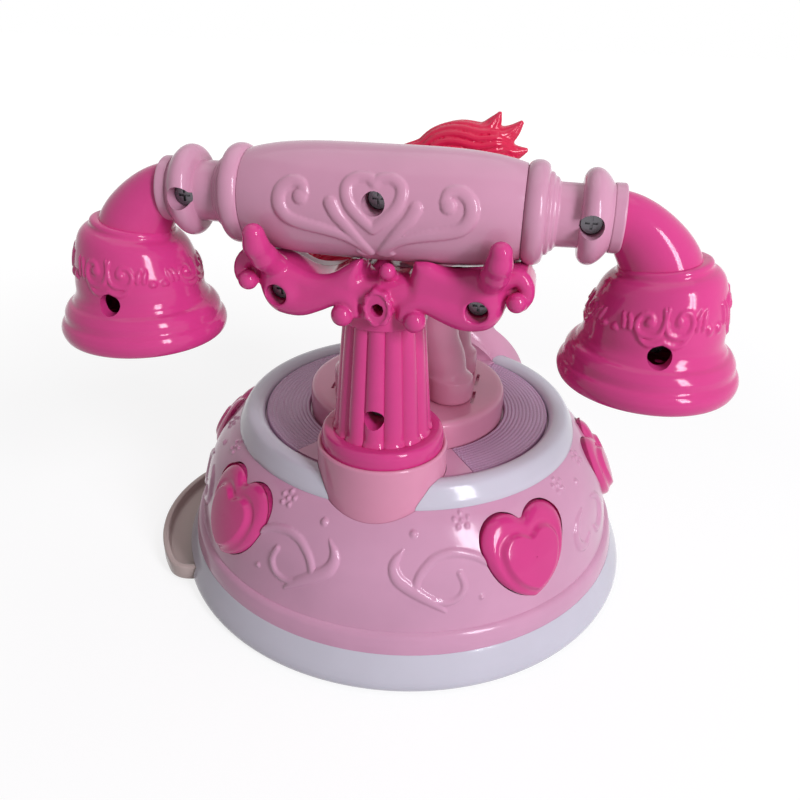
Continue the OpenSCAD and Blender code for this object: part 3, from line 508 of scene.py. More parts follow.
def skin(field, low, high, step):
    """Points and quads of the surface where field is 0, inside a box."""
    low, high = np.array(low, float), np.array(high, float)
    n = np.ceil((high - low) / step).astype(int) + 2
    axes = [low[k] + step * (np.arange(n[k]) - 0.5) for k in range(3)]
    grid = np.stack(np.meshgrid(*axes, indexing="ij"), -1)
    value = field(grid.reshape(-1, 3)).reshape(n)
    cells = n - 1
    total = int(cells.prod())
    spot, where, quads = [], [], []
    for k in range(3):
        a = [slice(None)] * 3
        b = [slice(None)] * 3
        a[k], b[k] = slice(0, -1), slice(1, None)
        va, vb = value[tuple(a)], value[tuple(b)]
        hit = (va < 0) != (vb < 0)
        idx = np.argwhere(hit)
        t = va[hit] / (va[hit] - vb[hit])
        p = grid[tuple(a)][hit].copy()
        p[:, k] += t * step
        i1, i2 = ((1, 2), (2, 0), (0, 1))[k]
        ok = (idx[:, i1] > 0) & (idx[:, i2] > 0) & (idx[:, i1] < n[i1] - 1) & (idx[:, i2] < n[i2] - 1)
        idx, p, inside = idx[ok], p[ok], (va[hit] < 0)[ok]
        four = []
        for d1, d2 in ((0, 0), (-1, 0), (-1, -1), (0, -1)):
            c = idx.copy()
            c[:, i1] += d1
            c[:, i2] += d2
            flat = np.ravel_multi_index(c.T, cells)
            four.append(flat)
            spot.append(p)
            where.append(flat)
        q = np.stack(four, 1)
        q[~inside] = q[~inside][:, ::-1]
        quads.append(q)
    where, spot = np.concatenate(where), np.concatenate(spot)
    count = np.bincount(where, minlength=total)
    used = np.flatnonzero(count)
    verts = np.stack([np.bincount(where, spot[:, k], total)[used] for k in range(3)], 1)
    verts /= count[used][:, None]
    name = np.full(total, -1)
    name[used] = np.arange(len(used))
    return settle(verts, field, step), name[np.concatenate(quads)]


def settle(verts, field, step, rounds=2):
    """Points moved onto the surface where field is 0."""
    h = 0.05 * step
    for _ in range(rounds):
        f = field(verts)
        g = np.stack([(field(verts + h * e) - field(verts - h * e)) / (2 * h) for e in np.eye(3)], 1)
        move = (f / np.maximum((g * g).sum(1), 0.2))[:, None] * g
        size = np.linalg.norm(move, axis=1)
        move *= np.minimum(1, 0.5 * step / np.maximum(size, 1e-9))[:, None]
        verts = verts - move
    return verts


def blend(a, b, k):
    """Union of two distances with a fillet of about k."""
    h = np.maximum(k - np.abs(a - b), 0) / k
    return np.minimum(a, b) - h * h * k * 0.25


def carve(a, b, k):
    """Distance a with b taken out of it, with a soft edge of about k."""
    return -blend(-a, b, k)


def ball(p, centre, r):
    return np.linalg.norm(p - np.array(centre, float), axis=1) - r


def taper(p, a, b, ra, rb):
    """Distance to a cone between two balls."""
    a, b = np.array(a, float), np.array(b, float)
    ab = b - a
    t = np.clip(((p - a) @ ab) / (ab @ ab), 0, 1)
    return np.linalg.norm(p - a - t[:, None] * ab, axis=1) - (ra + (rb - ra) * t)


def chain(p, points, k):
    """Limb through points x, y, z, r, with fillets of about k."""
    d = None
    for a, b in zip(points[:-1], points[1:]):
        e = taper(p, a[:3], b[:3], a[3], b[3])
        d = e if d is None else blend(d, e, k)
    return d


# ---- base ------------------------------------------------------------------

DOME_BAND = [(79.0, 12.6), (78.75, 15.0), (77.95, 18.0), (77.3, 18.85)]
DOME_SIDE = [(76.3, 19.2), (74.95, 25.8), (73.65, 31.8), (71.9, 37.9), (68.85, 43.9), (64.2, 49.5),
             (60.5, 52.7)]
WALL = 2.4
CUP = (0.0, 43.8, 20.2)
HEARTS = (48.7, 132.5, 186.0, -6.0)
DIAL = at(0, -60.9, 49, ("X", 65))
# Circle of the dial's ten holes, angle of the first one, angle of the finger stop
HOLES_R, HOLES_FROM, STOP_TURN = 20.8, 50, -20
TRAY_TURN = 12

# Relief between two hearts: degrees from its middle line, height above the table
BAND = [(33.5, 36.5), (29.9, 39.5), (26.6, 41.9), (21.9, 43.2), (17.6, 42.3), (14.9, 39.9), (13.3, 37.2),
        (12.6, 34.4)]
CRESCENT = [(23.1, 37.4), (24.0, 34.6), (23.9, 32.0), (22.4, 29.6), (19.6, 28.6), (16.6, 29.6)]
CLAW = [(9.4, 44.4), (7.7, 41.8), (7.3, 39.2), (8.5, 36.2), (10.9, 33.8), (13.8, 31.4), (17.0, 28.7),
        (19.6, 25.8)]


def cup_room(top=80):
    """Cutter that makes room for the cup."""
    return rod("cup_room", CUP[2] + 0.15, 30, top, at(CUP[0], CUP[1], 0), 180)


def dome_radius(z):
    side = catmull(DOME_SIDE, 0.5)
    return np.interp(z, side[:, 1], side[:, 0])


def dome_point(angle, z):
    """Point of the dome at an angle in degrees and a height."""
    a = np.radians(angle)
    r = dome_radius(z)
    return np.stack([r * np.cos(a), r * np.sin(a), z], 1)


def flower(angle, z):
    """Five small dots round one."""
    dots = [dot(angle, z, 0.8)]
    for k in range(5):
        t = math.radians(90 + 72 * k)
        dots.append(dot(angle + 2.1 * math.cos(t), z + 1.55 * math.sin(t), 0.85))
    return dots


def dome_lines():
    """All lines of the dome's relief, in degrees and heights."""
    lines = []
    for middle in (90.3, 270.0):
        for s in (-1, 1):
            for path, widths in ((BAND, (0.7, 1.1, 1.35, 1.5, 1.4, 1.3, 1.2)),
                                 (CRESCENT, (1.0, 1.1, 1.1, 1.1, 1.0)),
                                 (CLAW, (0.3, 1.2, 1.7, 2.0, 2.1, 1.9, 1.5, 0.5))):
                lines.append(stroke([(middle + s * a, z) for a, z in path], widths))
            lines.append(dot(middle + s * 12.0, 48.0, 1.25))
            lines.append(dot(middle + s * 28.4, 28.9, 0.9))
            lines += flower(middle + s * 25.2, 50.2)
    for middle in (159.3, 22.7, 221.5, -41.5):
        lines.append(dot(middle, 47.2, 1.2))
        for s in (-1, 1):
            lines.append(stroke([(middle + s * a, z) for a, z in (
                (1.6, 31.0), (4.4, 28.2), (7.6, 30.2), (8.8, 34.4), (7.2, 38.4), (3.6, 40.6))],
                (0.5, 1.5, 1.8, 1.7, 1.4, 0.5)))
        lines += flower(middle - 8.6, 50.0) + flower(middle + 8.6, 50.6)
    return lines


def arc(centre, r, a, b, count):
    """Points of an arc from angle a to b, in radians."""
    t = np.linspace(a, b, count)
    return np.column_stack([centre[0] + r * np.cos(t), centre[1] + r * np.sin(t)])


def heart_outline(width, step=0.12):
    """Heart of the CAD's buttons, in even steps, with a softened notch."""
    r, t, bow = 0.267 * width, 0.07 * width, 0.73 * width
    lobe, tip = np.array([width / 2 - r, 0.24 * width]), np.array([0, -0.327 * width])
    m, n = bow - r, bow - t
    d = np.linalg.norm(lobe - tip)
    u = (tip - lobe) / d
    along = (m * m - n * n + d * d) / (2 * d)
    c = lobe + along * u + math.sqrt(m * m - along ** 2) * np.array([u[1], -u[0]])
    a0 = math.pi - math.acos(lobe[0] / r)
    a1 = math.atan2(lobe[1] - c[1], lobe[0] - c[0])
    a2 = math.atan2(tip[1] - c[1], tip[0] - c[0])
    right = np.vstack([arc(lobe, r, a0, a1, 40), arc(c, bow, a1, a2, 30)[1:],
                       arc(tip, t, a2, -math.pi / 2, 12)[1:]])
    line = even(np.vstack([right, right[::-1][1:] * [-1, 1]]), step)[:-1]
    soft = np.exp(-((line - line[0]) ** 2).sum(1) / 5.0)[:, None]
    for _ in range(160):
        line = line + 0.5 * soft * (0.5 * (np.roll(line, 1, 0) + np.roll(line, -1, 0)) - line)
    return line


def heart_place(angle):
    return (Matrix.Rotation(math.radians(angle), 4, "Z") @ Matrix.Translation((72.34, 0, 36.66))
            @ Matrix.Rotation(math.radians(66), 4, "Y") @ Matrix.Rotation(math.radians(90), 4, "Z"))


def edge_distance(points, outline):
    """Distance of points to a closed line."""
    a = outline
    b = np.roll(outline, -1, 0)
    best = np.full(len(points), 1e9)
    for p, q in zip(a, b):
        pq = q - p
        t = np.clip(((points - p) @ pq) / (pq @ pq), 0, 1)
        best = np.minimum(best, np.linalg.norm(points - p - t[:, None] * pq, axis=1))
    return best


def smoothstep(x):
    x = np.clip(x, 0, 1)
    return x * x * (3 - 2 * x)


def inside(points, outline):
    """Which points lie inside a closed line."""
    x, y = points[:, 0], points[:, 1]
    odd = np.zeros(len(points), bool)
    for (x1, y1), (x2, y2) in zip(outline, np.roll(outline, -1, 0)):
        cross = (y1 > y) != (y2 > y)
        with np.errstate(divide="ignore", invalid="ignore"):
            odd ^= cross & (x < (x2 - x1) * (y - y1) / (y2 - y1) + x1)
    return odd


def heart_cap():
    """Points and quads of one heart button: a soft rim, and a raised heart in a shallow groove."""
    outer = heart_outline(31.5, 0.2)
    inner = heart_outline(21.5, 0.2) + [0, -1.5]
    share = 1 - np.linspace(0, 1, 60) ** 1.5
    share = np.concatenate([share[:-1], [0.012]])
    centre = np.array([0, 1.0])
    top = np.concatenate([centre + s * (outer - centre) for s in share])
    d = edge_distance(top, outer)
    e = edge_distance(top, inner) * np.where(inside(top, inner), 1, -1)
    cap = 2.8 - 50 + np.sqrt(2500 - (top ** 2).sum(1))
    rim = 2.6 * (1 - np.sqrt(np.clip(1 - (1 - np.clip(d / 3.4, 0, 1)) ** 2, 0, 1)))
    raised = 0.95 * smoothstep((e + 0.3) / 1.5) - 0.4 * np.exp(-((e + 0.8) / 0.9) ** 2)
    rings, n = len(share), len(outer)
    verts = [np.column_stack([top, cap - rim + raised])]
    for depth in (-1.5, -7.0):
        verts.append(np.column_stack([outer, np.full(n, depth)]))
    verts.append(np.column_stack([centre + 0.012 * (outer - centre), np.full(n, -7.0)]))
    order = [rings + 2, rings + 1, rings] + list(range(rings))
    i = np.arange(n)
    j = (i + 1) % n
    quads = [np.stack([a * n + i, a * n + j, b * n + j, b * n + i], 1)
             for a, b in zip(order, order[1:] + order[:1])]
    return np.concatenate(verts), np.concatenate(quads)


def make_hearts(mats):
    verts, quads = heart_cap()
    for number, angle in enumerate(HEARTS, 1):
        cap = new_object("heart_cap_%d" % number, moved(verts, heart_place(angle)), quads)
        dress(cap, mats["hot"], "heart_%d" % number, "hot_plastic", "heart_button_%d" % number, crease=60)


def hood_outline(extra):
    r = 41 + extra
    return [(AXIS, extra), (r - 0.8, extra), (r, extra - 0.8), (r, -4), (r - 1.2, -7.5), (r - 4, -10.6),
            (r - 8.5, -13), (27 + extra, -14 - extra), (AXIS, -14 - extra)]


def dial_cutters():
    """Shapes that make room for the dial's body and for its hood."""
    hole = rod("dial_hole", 31.95, -12.15, 48, DIAL, 180)
    verts, quads = lathe(hood_outline(0.15), 240)
    hood = new_object("hood_room", moved(verts, DIAL @ Matrix.Translation((0, -8, 0))), quads)
    hood = boolean(hood, "INTERSECT", block("above", (-100, -140, 50.15), (100, 60, 200)))
    return hole, hood


def make_dome(mats):
    side = catmull(DOME_SIDE, 0.42)
    band = even(np.vstack([DOME_BAND, DOME_SIDE[0]]), 0.8)[:-1]
    outer = np.vstack([band, side])
    inner = catmull([(r - WALL, z - (0.6 if z > 40 else 0)) for r, z in DOME_SIDE[:-1]], 4.0)
    loop = np.vstack([outer, [(47, 52.7), (47, 50.3), (58.5, 50.3)], inner[::-1][1:],
                      [(74.9, 18.0), (76.6, 12.6)]])
    n = 1500
    verts, quads = lathe(loop, n)
    shown = np.zeros(len(loop), bool)
    shown[len(band):len(outer)] = True
    out = turned_normals(loop, n)
    pick = np.flatnonzero(np.tile(shown, n))
    lines = on_surface(dome_lines(), dome_point)
    verts[pick] += out[pick] * relief(verts[pick], lines, 1.0, 0.6, 0.5)[:, None]
    dome = new_object("dome_cover", verts, quads)
    cuts = [prism("pocket", heart_outline(32.2), -14, 12, heart_place(h)) for h in HEARTS]
    cuts.append(cup_room())
    cuts += dial_cutters()
    dome = boolean(dome, "DIFFERENCE", *cuts)
    dress(dome, mats["dome"], ROOT, "pink_plastic", "dome_shell")


def make_foot_ring(mats):
    outer = catmull([(80.4, 0.35), (82.2, 0.95), (83.0, 3.3), (82.3, 6.3), (80.9, 9.3), (79.75, 11.5),
                     (79.35, 12.2)], 0.5)
    loop = np.vstack([[(78.1, 0), (80.1, 0)], outer, [(79.1, 12.6), (76.6, 12.6), (76.6, 8.8), (78.1, 7)]])
    verts, quads = lathe(loop, 540)
    ring = new_object("foot_ring_cover", verts, quads)
    notch = block("notch", (60, -33.35, -1), (120, 33.35, 7.55))
    notch.data.transform(Matrix.Rotation(math.radians(TRAY_TURN), 4, "Z"))
    ring = boolean(ring, "DIFFERENCE", notch)
    dress(ring, mats["pearl"], ROOT, "pearl_plastic", "foot_ring")


def make_upper_ring(mats):
    z = 52.7
    top = catmull([(60.6, z), (60.45, z + 1.2), (59.6, z + 3.1), (57.6, z + 6.2), (55.3, z + 7.0),
                   (53.1, z + 6.6),
                   (51.6, z + 5.2), (51.3, z + 4.2)], 0.45)
    loop = np.vstack([top, [(51.3, z), (53.4, z), (53.4, z + 3.8), (58.2, z + 3.8), (58.2, z)]])
    verts, quads = lathe(loop, 480)
    ring = new_object("upper_ring_cover", verts, quads)
    ring = boolean(ring, "DIFFERENCE", cup_room(), *dial_cutters())
    dress(ring, mats["pearl"], ROOT, "pearl_plastic", "upper_ring")


def make_lens(name, node, start, turn, mats):
    """Lens with round ribs, crossed by finer ones that leave small beads."""
    n = int(turn * 3.4)
    ribs = 12
    r = np.linspace(35.3, 50.85, ribs * 12 + 1)
    a = np.radians(start + turn * np.linspace(0, 1, n + 1))
    phase = (r - r[0]) / (r[-1] - r[0]) * ribs
    ridge = np.abs(np.sin(np.pi * phase))
    along = a[:, None] * 43.5 / 1.25 * np.pi + np.pi / 2 * np.floor(phase)[None]
    beads = np.abs(np.sin(along))
    z = 57.7 + 0.34 * ridge[None] * (0.3 + 0.7 * beads)
    edge = np.minimum(r - r[0], r[-1] - r)
    z = z - 0.5 * (1 - np.clip(edge / 0.5, 0, 1))[None] ** 2
    top = np.stack([np.outer(np.cos(a), r), np.outer(np.sin(a), r), z], 2)
    low = top.copy()
    low[..., 2] = 56.1
    m = len(r)
    verts = np.concatenate([top.reshape(-1, 3), low.reshape(-1, 3)])
    i = np.arange(n)[:, None]
    j = np.arange(m - 1)[None]
    cell = (i * m + j).ravel()
    quads = [np.stack([cell, cell + m, cell + m + 1, cell + 1], 1)]
    base = len(top.reshape(-1, 3))
    quads.append(np.stack([cell + 1, cell + m + 1, cell + m, cell], 1) + base)
    for col in (0, m - 1):
        k = np.arange(n) * m + col
        side = np.stack([k, k + base, k + m + base, k + m], 1)
        quads.append(side if col == 0 else side[:, ::-1])
    for row in (0, n):
        k = row * m + np.arange(m - 1)
        side = np.stack([k, k + 1, k + 1 + base, k + base], 1)
        quads.append(side if row == 0 else side[:, ::-1])
    lens = new_object(name, verts, np.concatenate(quads))
    lens = boolean(lens, "DIFFERENCE", cup_room(), *dial_cutters())
    dress(lens, mats["lilac"], ROOT, "lilac_lens", node, crease=80)


def make_stage(mats):
    z = 67.0
    top = [(AXIS, z), (32.6, z), (33.9, z - 0.35), (34.5, z - 1.2), (34.7, z - 2.4), (34.7, 56.3),
           (32, 56.3),
           (32, z - 2.6), (AXIS, z - 2.6)]
    loop = rounded(top, [0, 0.6, 0.6, 0.5, 0.5, 0.3, 0.3, 0.3, 0], 5)
    verts, quads = lathe(loop, 300)
    disc = new_object("stage_cover", verts, quads)
    cuts = [cup_room(90)]
    for x in (-24.6, 24.6):
        for y in (-5.6, 8.6):
            cuts.append(block("slot", (x - 0.55, y - 4.6, z - 1.4), (x + 0.55, y + 4.6, z + 2)))
    disc = boolean(disc, "DIFFERENCE", *cuts)
    dress(disc, mats["flesh"], ROOT, "flesh_plastic", "stage_disc")


def make_cup(mats):
    loop = [(18.75, 67.2), (19.2, 67.6), (19.75, 67.6), (20.2, 67.1), (20.2, 43.8), (16, 43.8), (16, 58.5),
            (18.9, 58.5)]
    verts, quads = lathe(rounded(loop, [0.2, 0.3, 0.3, 0.5, 0.1, 0.1, 0.3, 0.3], 4), 300)
    cup = new_object("cup_cover", verts + [CUP[0], CUP[1], 0], quads)
    dress(cup, mats["flesh"], ROOT, "flesh_plastic", "rear_cup")


# ---- column and cradle -------------------------------------------------------

# Axis of the handset's grip, foot of the cradle, radius of every screw well
AXIS_Y, AXIS_Z = 45.6, 140.5
CRADLE_FOOT = 108.5
WELL = 3.0


def make_column(mats):
    ribs = 14
    n = ribs * 36
    a = np.radians(90) + 2 * np.pi * np.arange(n) / n
    wave = np.cos(ribs * (a - np.pi / 2)) * 0.5 + 0.5
    levels = np.concatenate([np.linspace(69.0, 74.0, 14), np.linspace(75, 109.2, 36)])
    rows = [np.column_stack([np.full(n, AXIS), np.zeros(n), np.full(n, levels[0])])]
    for z in levels:
        t = (z - 71.1) / 38
        big = 15.0 - 3.2 * t
        r1 = big * math.sin(math.pi / ribs) * 1.12
        c = big - r1
        d = (a - np.pi / 2 + np.pi / ribs) % (2 * np.pi / ribs) - np.pi / ribs
        r = c * np.cos(d) + np.sqrt(np.maximum(r1 ** 2 - (c * np.sin(d)) ** 2, 0))
        r = r + 0.9 * np.exp(-((z - 72.4) / 1.0) ** 2) * (1 - 0.5 * wave)
        rows.append(np.column_stack([r * np.cos(a), r * np.sin(a), np.full(n, z)]))
    rows.append(np.column_stack([np.full(n, AXIS), np.zeros(n), np.full(n, levels[-1])]))
    for row in (rows[0], rows[-1]):
        row[:, 0], row[:, 1] = AXIS * np.cos(a), AXIS * np.sin(a)
    shaft = new_object("column_cover", np.concatenate(rows) + [0, CUP[1], 0], ring_quads(n, len(rows)))
    loop = rounded([(AXIS, 58.7), (18.8, 58.7), (18.9, 70.6), (18.2, 72.5), (15.2, 72.7), (13.2, 71.4),
                    (AXIS, 71.4)],
                   [0, 0.3, 1.8, 1.6, 1.2, 0.8, 0], 8)
    ring_v, ring_q = lathe(loop, 300)
    collar = new_object("collar", ring_v + [0, CUP[1], 0], ring_q)
    column = boolean(shaft, "UNION", collar)
    well = rod("well", WELL, 0, 30, rearward(0, CUP[1] + 4, 81.1))
    column = boolean(column, "DIFFERENCE", well)
    rear, front = halves(column, CUP[1])
    rear.name = "column_rear_cover"
    front.name = "column_front_cover"
    dress(rear, mats["hot"], ROOT, "hot_plastic", "column_rear")
    dress(front, mats["hot"], ROOT, "hot_plastic", "column_front")


def plate_stroke(p, points, mid_y):
    """Soft moulded limb in the cradle's plane, through points x, z, r. It is flat below mid_y."""
    q = np.column_stack([p[:, 0], p[:, 2] - CRADLE_FOOT])
    line = catmull(points, 1.0)
    best = np.full(len(p), 1e9)
    for a, b in zip(line[:-1], line[1:]):
        ab = b[:2] - a[:2]
        t = np.clip(((q - a[:2]) @ ab) / max(ab @ ab, 1e-9), 0, 1)
        flat = np.linalg.norm(q - a[:2] - t[:, None] * ab, axis=1)
        r = a[2] + (b[2] - a[2]) * t
        best = np.minimum(best, np.hypot(flat, np.maximum(p[:, 1] - (mid_y - r), 0)) - r)
    return best


def closed_line(points, step=0.8):
    """Smooth closed line through points."""
    p = np.asarray(points, float)
    k = 3
    line = catmull(np.vstack([p[-k:], p, p[:k]]), step)
    first = np.linalg.norm(line - p[0], axis=1).argmin()
    last = len(line) - 1 - np.linalg.norm(line[::-1] - p[0], axis=1).argmin()
    return line[first:last] if last > first + 3 else line


def plate(p, outline, face, r):
    """Distance to a soft-edged plate over an outline in x and z, with its face at y = face."""
    q = np.column_stack([p[:, 0], p[:, 2] - CRADLE_FOOT])
    d = edge_distance(q, outline) * np.where(inside(q, outline), -1, 1)
    return np.hypot(np.maximum(d + r, 0), np.maximum(p[:, 1] - (face - r), 0)) - r


# Outlines of the cradle's rear half on its two sides: x, and height above its foot
ARM_EDGE = [(33.0, 12.6), (32.9, 8.4), (31, 5.0), (28, 2.6), (24.5, 1.8), (20.8, 2.2), (17.4, 3.8),
            (14.2, 5.6), (11.4, 6.2), (6, 4.4), (0, 3.4), (0, 12)]
REAR_ARM = [(0.8, 18.9), (2.4, 19.5), (4.8, 19.3), (7.2, 18.3), (9.8, 16.6), (13.4, 14.4), (16.6, 13.7),
            (19.6, 14.0), (23, 15.4), (27, 17.2), (30.6, 16.2)] + ARM_EDGE
REAR_ARM_HIGH = [(2.6, 18.0), (5.6, 19.0), (8.9, 19.8), (12.6, 20.1), (15.2, 18.8), (17.8, 17.8),
                 (20.7, 17.6), (23.6, 18.2), (27, 18.4), (30.6, 16.6)] + ARM_EDGE


def cradle_parts(p, face, curl_r):
    """Distances to the curls and knobs that both halves of the cradle have, for x of 0 and up."""
    lobe = plate_stroke(p, [(27, 6.8, 5.0), (22.5, 5.8, 3.8), (17.5, 6.8, 3.1), (13.4, 8.2, 2.6),
                            (10.0, 8.4, 2.1),
                            (7.2, 6.8, 1.8), (6.6, 4.6, 1.6)], face + 0.6)
    curl = plate_stroke(p, [(29.0, 13.6, 3.4), (32.6, 16.6, 2.9), (35.8, 17.5, curl_r),
                            (38.0, 15.6, curl_r - 0.3),
                            (38.5, 12.8, curl_r - 0.5), (37.4, 10.6, curl_r - 0.6)], face - 0.2)
    d = blend(lobe, ball(p, (9.9, face - 0.2, 112.4), 3.1), 0.3)
    web = plate_stroke(p, [(33.4, 12.4, 3.6), (35.6, 13.4, 3.2)], face - 2.6)
    return np.minimum(d, blend(np.minimum(curl, web), ball(p, (36.2, face - 0.6, 119.9), 2.7), 0.3))


def saddle_cut(d, p, x):
    """One half of the cradle with the grip's seat taken out of it, cut off at the seam."""
    seat = 15.3 - 2.9 * np.minimum(x / 37, 1.1) ** 4
    d = carve(d, np.hypot(p[:, 1] - AXIS_Y, p[:, 2] - AXIS_Z) - seat, 0.5)
    return np.maximum(d, 45.65 - p[:, 1])


def cradle_rear_field(p):
    """Distance to the hot pink half of the cradle. Its top edge is lower on one side."""
    x = p[:, 0] + 1.0
    well = np.abs(p[:, 0])
    z = p[:, 2] - CRADLE_FOOT
    p = np.column_stack([np.abs(x), p[:, 1], p[:, 2]])
    low = plate(p, closed_line(REAR_ARM), 57.2, 3.4)
    high = plate(p, closed_line(REAR_ARM_HIGH), 57.2, 3.4)
    core = plate_stroke(p, [(0, 9.0, 6.0), (6, 9.0, 6.0)], 57.0)
    d = blend(np.where(x > 0, low, high), core, 1.5)
    boss = plate_stroke(p, [(27.3, 9.4, 5.4), (27.4, 9.6, 5.4)], 58.9)
    d = blend(d, cradle_parts(p, 57.4, 2.5), 1.6)
    d = blend(d, boss, 2.0)
    bud = ball(np.column_stack([x, p[:, 1:]]), (-2.4, 57.4, 125.6), 2.2)
    stem = chain(np.column_stack([x, p[:, 1:]]), [(-2.4, 57.0, 125.4, 1.7), (-2.2, 52.0, 122.5, 2.2)], 1)
    d = blend(np.minimum(carve(d, bud - 0.5, 0.3), stem), bud, 0.1)
    finger = chain(p, [(29.0, 55.5, 124.2, 3.6), (30.4, 59.6, 127.8, 3.4), (31.2, 62.2, 131.2, 3.1),
                       (31.4, 62.9, 134.2, 2.9)], 1.5)
    d = blend(d, finger, 0.7)
    neck = np.maximum(np.hypot(x - 1.0, p[:, 1] - 43.8) - 12.6, np.abs(p[:, 2] - 111) - 3.2)
    d = blend(d, neck, 1.4)
    turn = np.arctan2(z - 7.1, x)
    petal = 1 + 0.055 * np.cos(9 * turn)
    rose = (np.hypot(x / (4.0 * petal), (z - 7.1) / (5.3 * petal)) - 1) * 4.2
    rose = np.hypot(np.maximum(rose + 1.0, 0), np.maximum(p[:, 1] - 58.4, 0)) - 1.0
    d = blend(d, rose, 0.35)
    dish = (np.hypot(x / 2.6, (z - 7.1) / 3.7) - 1) * 3.0
    d = carve(d, np.hypot(np.maximum(dish, 0), np.maximum(59.2 - p[:, 1], 0)) - 0.25, 0.3)
    d = carve(d, np.maximum(np.hypot(x, z - 6.6) - 1.7, 50 - p[:, 1]), 0.3)
    d = carve(d, np.maximum(np.hypot(well - 27.2, z - 8.1) - WELL, 50.6 - p[:, 1]), 0.7)
    return saddle_cut(d, p, np.abs(x - 1.0))


FRONT_ARM = [(0, 16.0), (4.5, 15.8), (9.0, 14.4), (14.4, 12.9), (19.4, 12.5), (22.9, 13.4), (26.2, 15.2),
             (29.4, 14.6),
             (32.2, 12.2), (32.4, 8.4), (30.6, 5.0), (27.6, 2.6), (24, 1.8), (20.6, 2.4), (17.4, 3.9),
             (14, 5.6), (10.6, 6.2),
             (6, 4.4), (0, 3.4), (0, 10)]


def cradle_front_field(p):
    """Distance to the pale half of the cradle, which turns to the figure."""
    p = np.column_stack([np.abs(p[:, 0]), 2 * AXIS_Y - p[:, 1], p[:, 2]])
    q = np.column_stack([p[:, 0], p[:, 2] - CRADLE_FOOT])
    d = plate(p, closed_line(FRONT_ARM), 55.6, 2.6)
    d = blend(d, plate_stroke(p, [(0, 9.0, 6.0), (6, 9.0, 6.0)], 56.0), 1.5)
    d = blend(d, cradle_parts(p, 56.0, 2.3), 1.4)
    neck = np.maximum(np.hypot(p[:, 0], p[:, 1] - 47.4) - 12.4, np.abs(p[:, 2] - 111) - 3.2)
    d = blend(d, neck, 1.4)
    rose = np.hypot(np.maximum(np.hypot(q[:, 0], q[:, 1] - 7.4) - 2.6, 0),
                    np.maximum(p[:, 1] - 57.2, 0)) - 1.0
    d = blend(d, rose, 0.35)
    for off in (1.6, 3.6):
        line = catmull([(2.5, 15.2 - off), (8, 14.4 - off), (14, 12.6 - off), (20, 12.4 - off),
                        (26, 14.2 - off)], 1.0)
        best = np.full(len(p), 1e9)
        for a in line:
            best = np.minimum(best, np.hypot(q[:, 0] - a[0], q[:, 1] - a[1]))
        d = d + 0.4 * np.clip(1 - (best / 0.9) ** 2, 0, 1)
    return saddle_cut(d, p, p[:, 0])


def make_cradle(mats):
    fine = 0.5
    verts, quads = skin(cradle_rear_field, (-44, 45.0, 105.5), (44, 68, 138), fine)
    rear = new_object("cradle_rear_cover", verts, quads)
    dress(rear, mats["hot"], ROOT, "hot_plastic", "cradle_rear", crease=55)
    verts, quads = skin(cradle_front_field, (-44, 28, 105.5), (44, 46.2, 132), fine)
    front = new_object("cradle_front_cover", verts, quads)
    dress(front, mats["pale"], ROOT, "pale_plastic", "cradle_front", crease=55)


# ---- handset -----------------------------------------------------------------

def grip_radius(x):
    return 14.9 - 2.9 * np.minimum(np.abs(x) / 37, 1) ** 4


def grip_point(x, arc):
    """Point of the grip at x, and at an arc length up from the rear line."""
    r = grip_radius(x)
    a = arc / r
    return np.stack([x, AXIS_Y + r * np.cos(a), AXIS_Z + r * np.sin(a)], 1)


def grip_lines():
    """Double heart with scrolls and leaves on the grip."""
    lines = []
    for s in (-1, 1):
        heart = [(0, 8.0), (1.6, 9.2), (4.3, 9.3), (6.6, 7.6), (7.0, 5.2), (5.9, 2.2), (3.2, -0.8),
                 (0, -3.6)]
        lines.append(stroke([(s * x, y) for x, y in heart], (1.4, 1.45, 1.5, 1.5, 1.45, 1.4)))
        scroll = [(17.6, 4.4), (18.6, 6.6), (21.4, 7.0), (24.0, 4.6), (24.3, 1.0), (22.2, -1.9), (18, -3.4),
                  (12.5, -4.6), (7.6, -6.2), (4.2, -8.6), (2.2, -11.4)]
        widths = (1.2, 1.5, 1.75, 1.85, 1.8, 1.7, 1.5, 1.3, 1.1)
        lines.append(stroke([(s * x, y) for x, y in scroll], widths))
        lines.append(dot(s * 18.7, 3.5, 2.0))
        leaf = [(10.8, 2.4), (9.4, -0.2), (7.0, -3.0), (4.6, -6.2), (2.6, -9.4), (1.5, -11.8)]
        lines.append(stroke([(s * x, y) for x, y in leaf], (1.75, 1.6, 1.4, 1.3, 1.4)))
        lines.append(stroke([(s * x, y) for x, y in ((1.5, -11.8), (2.8, -12.6), (4.2, -11.6))],
                            (1.2, 1.1, 1.0)))
    return lines


def handset_profile():
    """Half outline (radius, x) of the handset from the middle out."""
    grip = [(float(grip_radius(x)), float(x)) for x in np.arange(0, 36.6, 0.3)]
    bead = [(11.3 + 1.9 * math.sin(t), 39.4 - 2.75 * math.cos(t))
            for t in np.linspace(0.12, math.pi - 0.05, 16)]
    steps = rounded([(10.5, 42.2), (10.35, 43.3), (9.4, 43.7), (9.2, 44.5), (8.15, 45.0), (8.05, 50.4)],
                    0.45, 5)[3:-3]
    clamp = catmull([(8.1, 50.5), (10.2, 50.8), (11.6, 51.9), (12.1, 53.4), (11.8, 54.9), (10.7, 56.4),
                     (9.3, 57.6), (8.7, 58.0)], 0.3)
    ring = rounded([(8.75, 58.1), (8.75, 61.3), (7.0, 61.4)], 0.7, 6)[1:]
    return np.vstack([grip, bead, steps, clamp, ring])


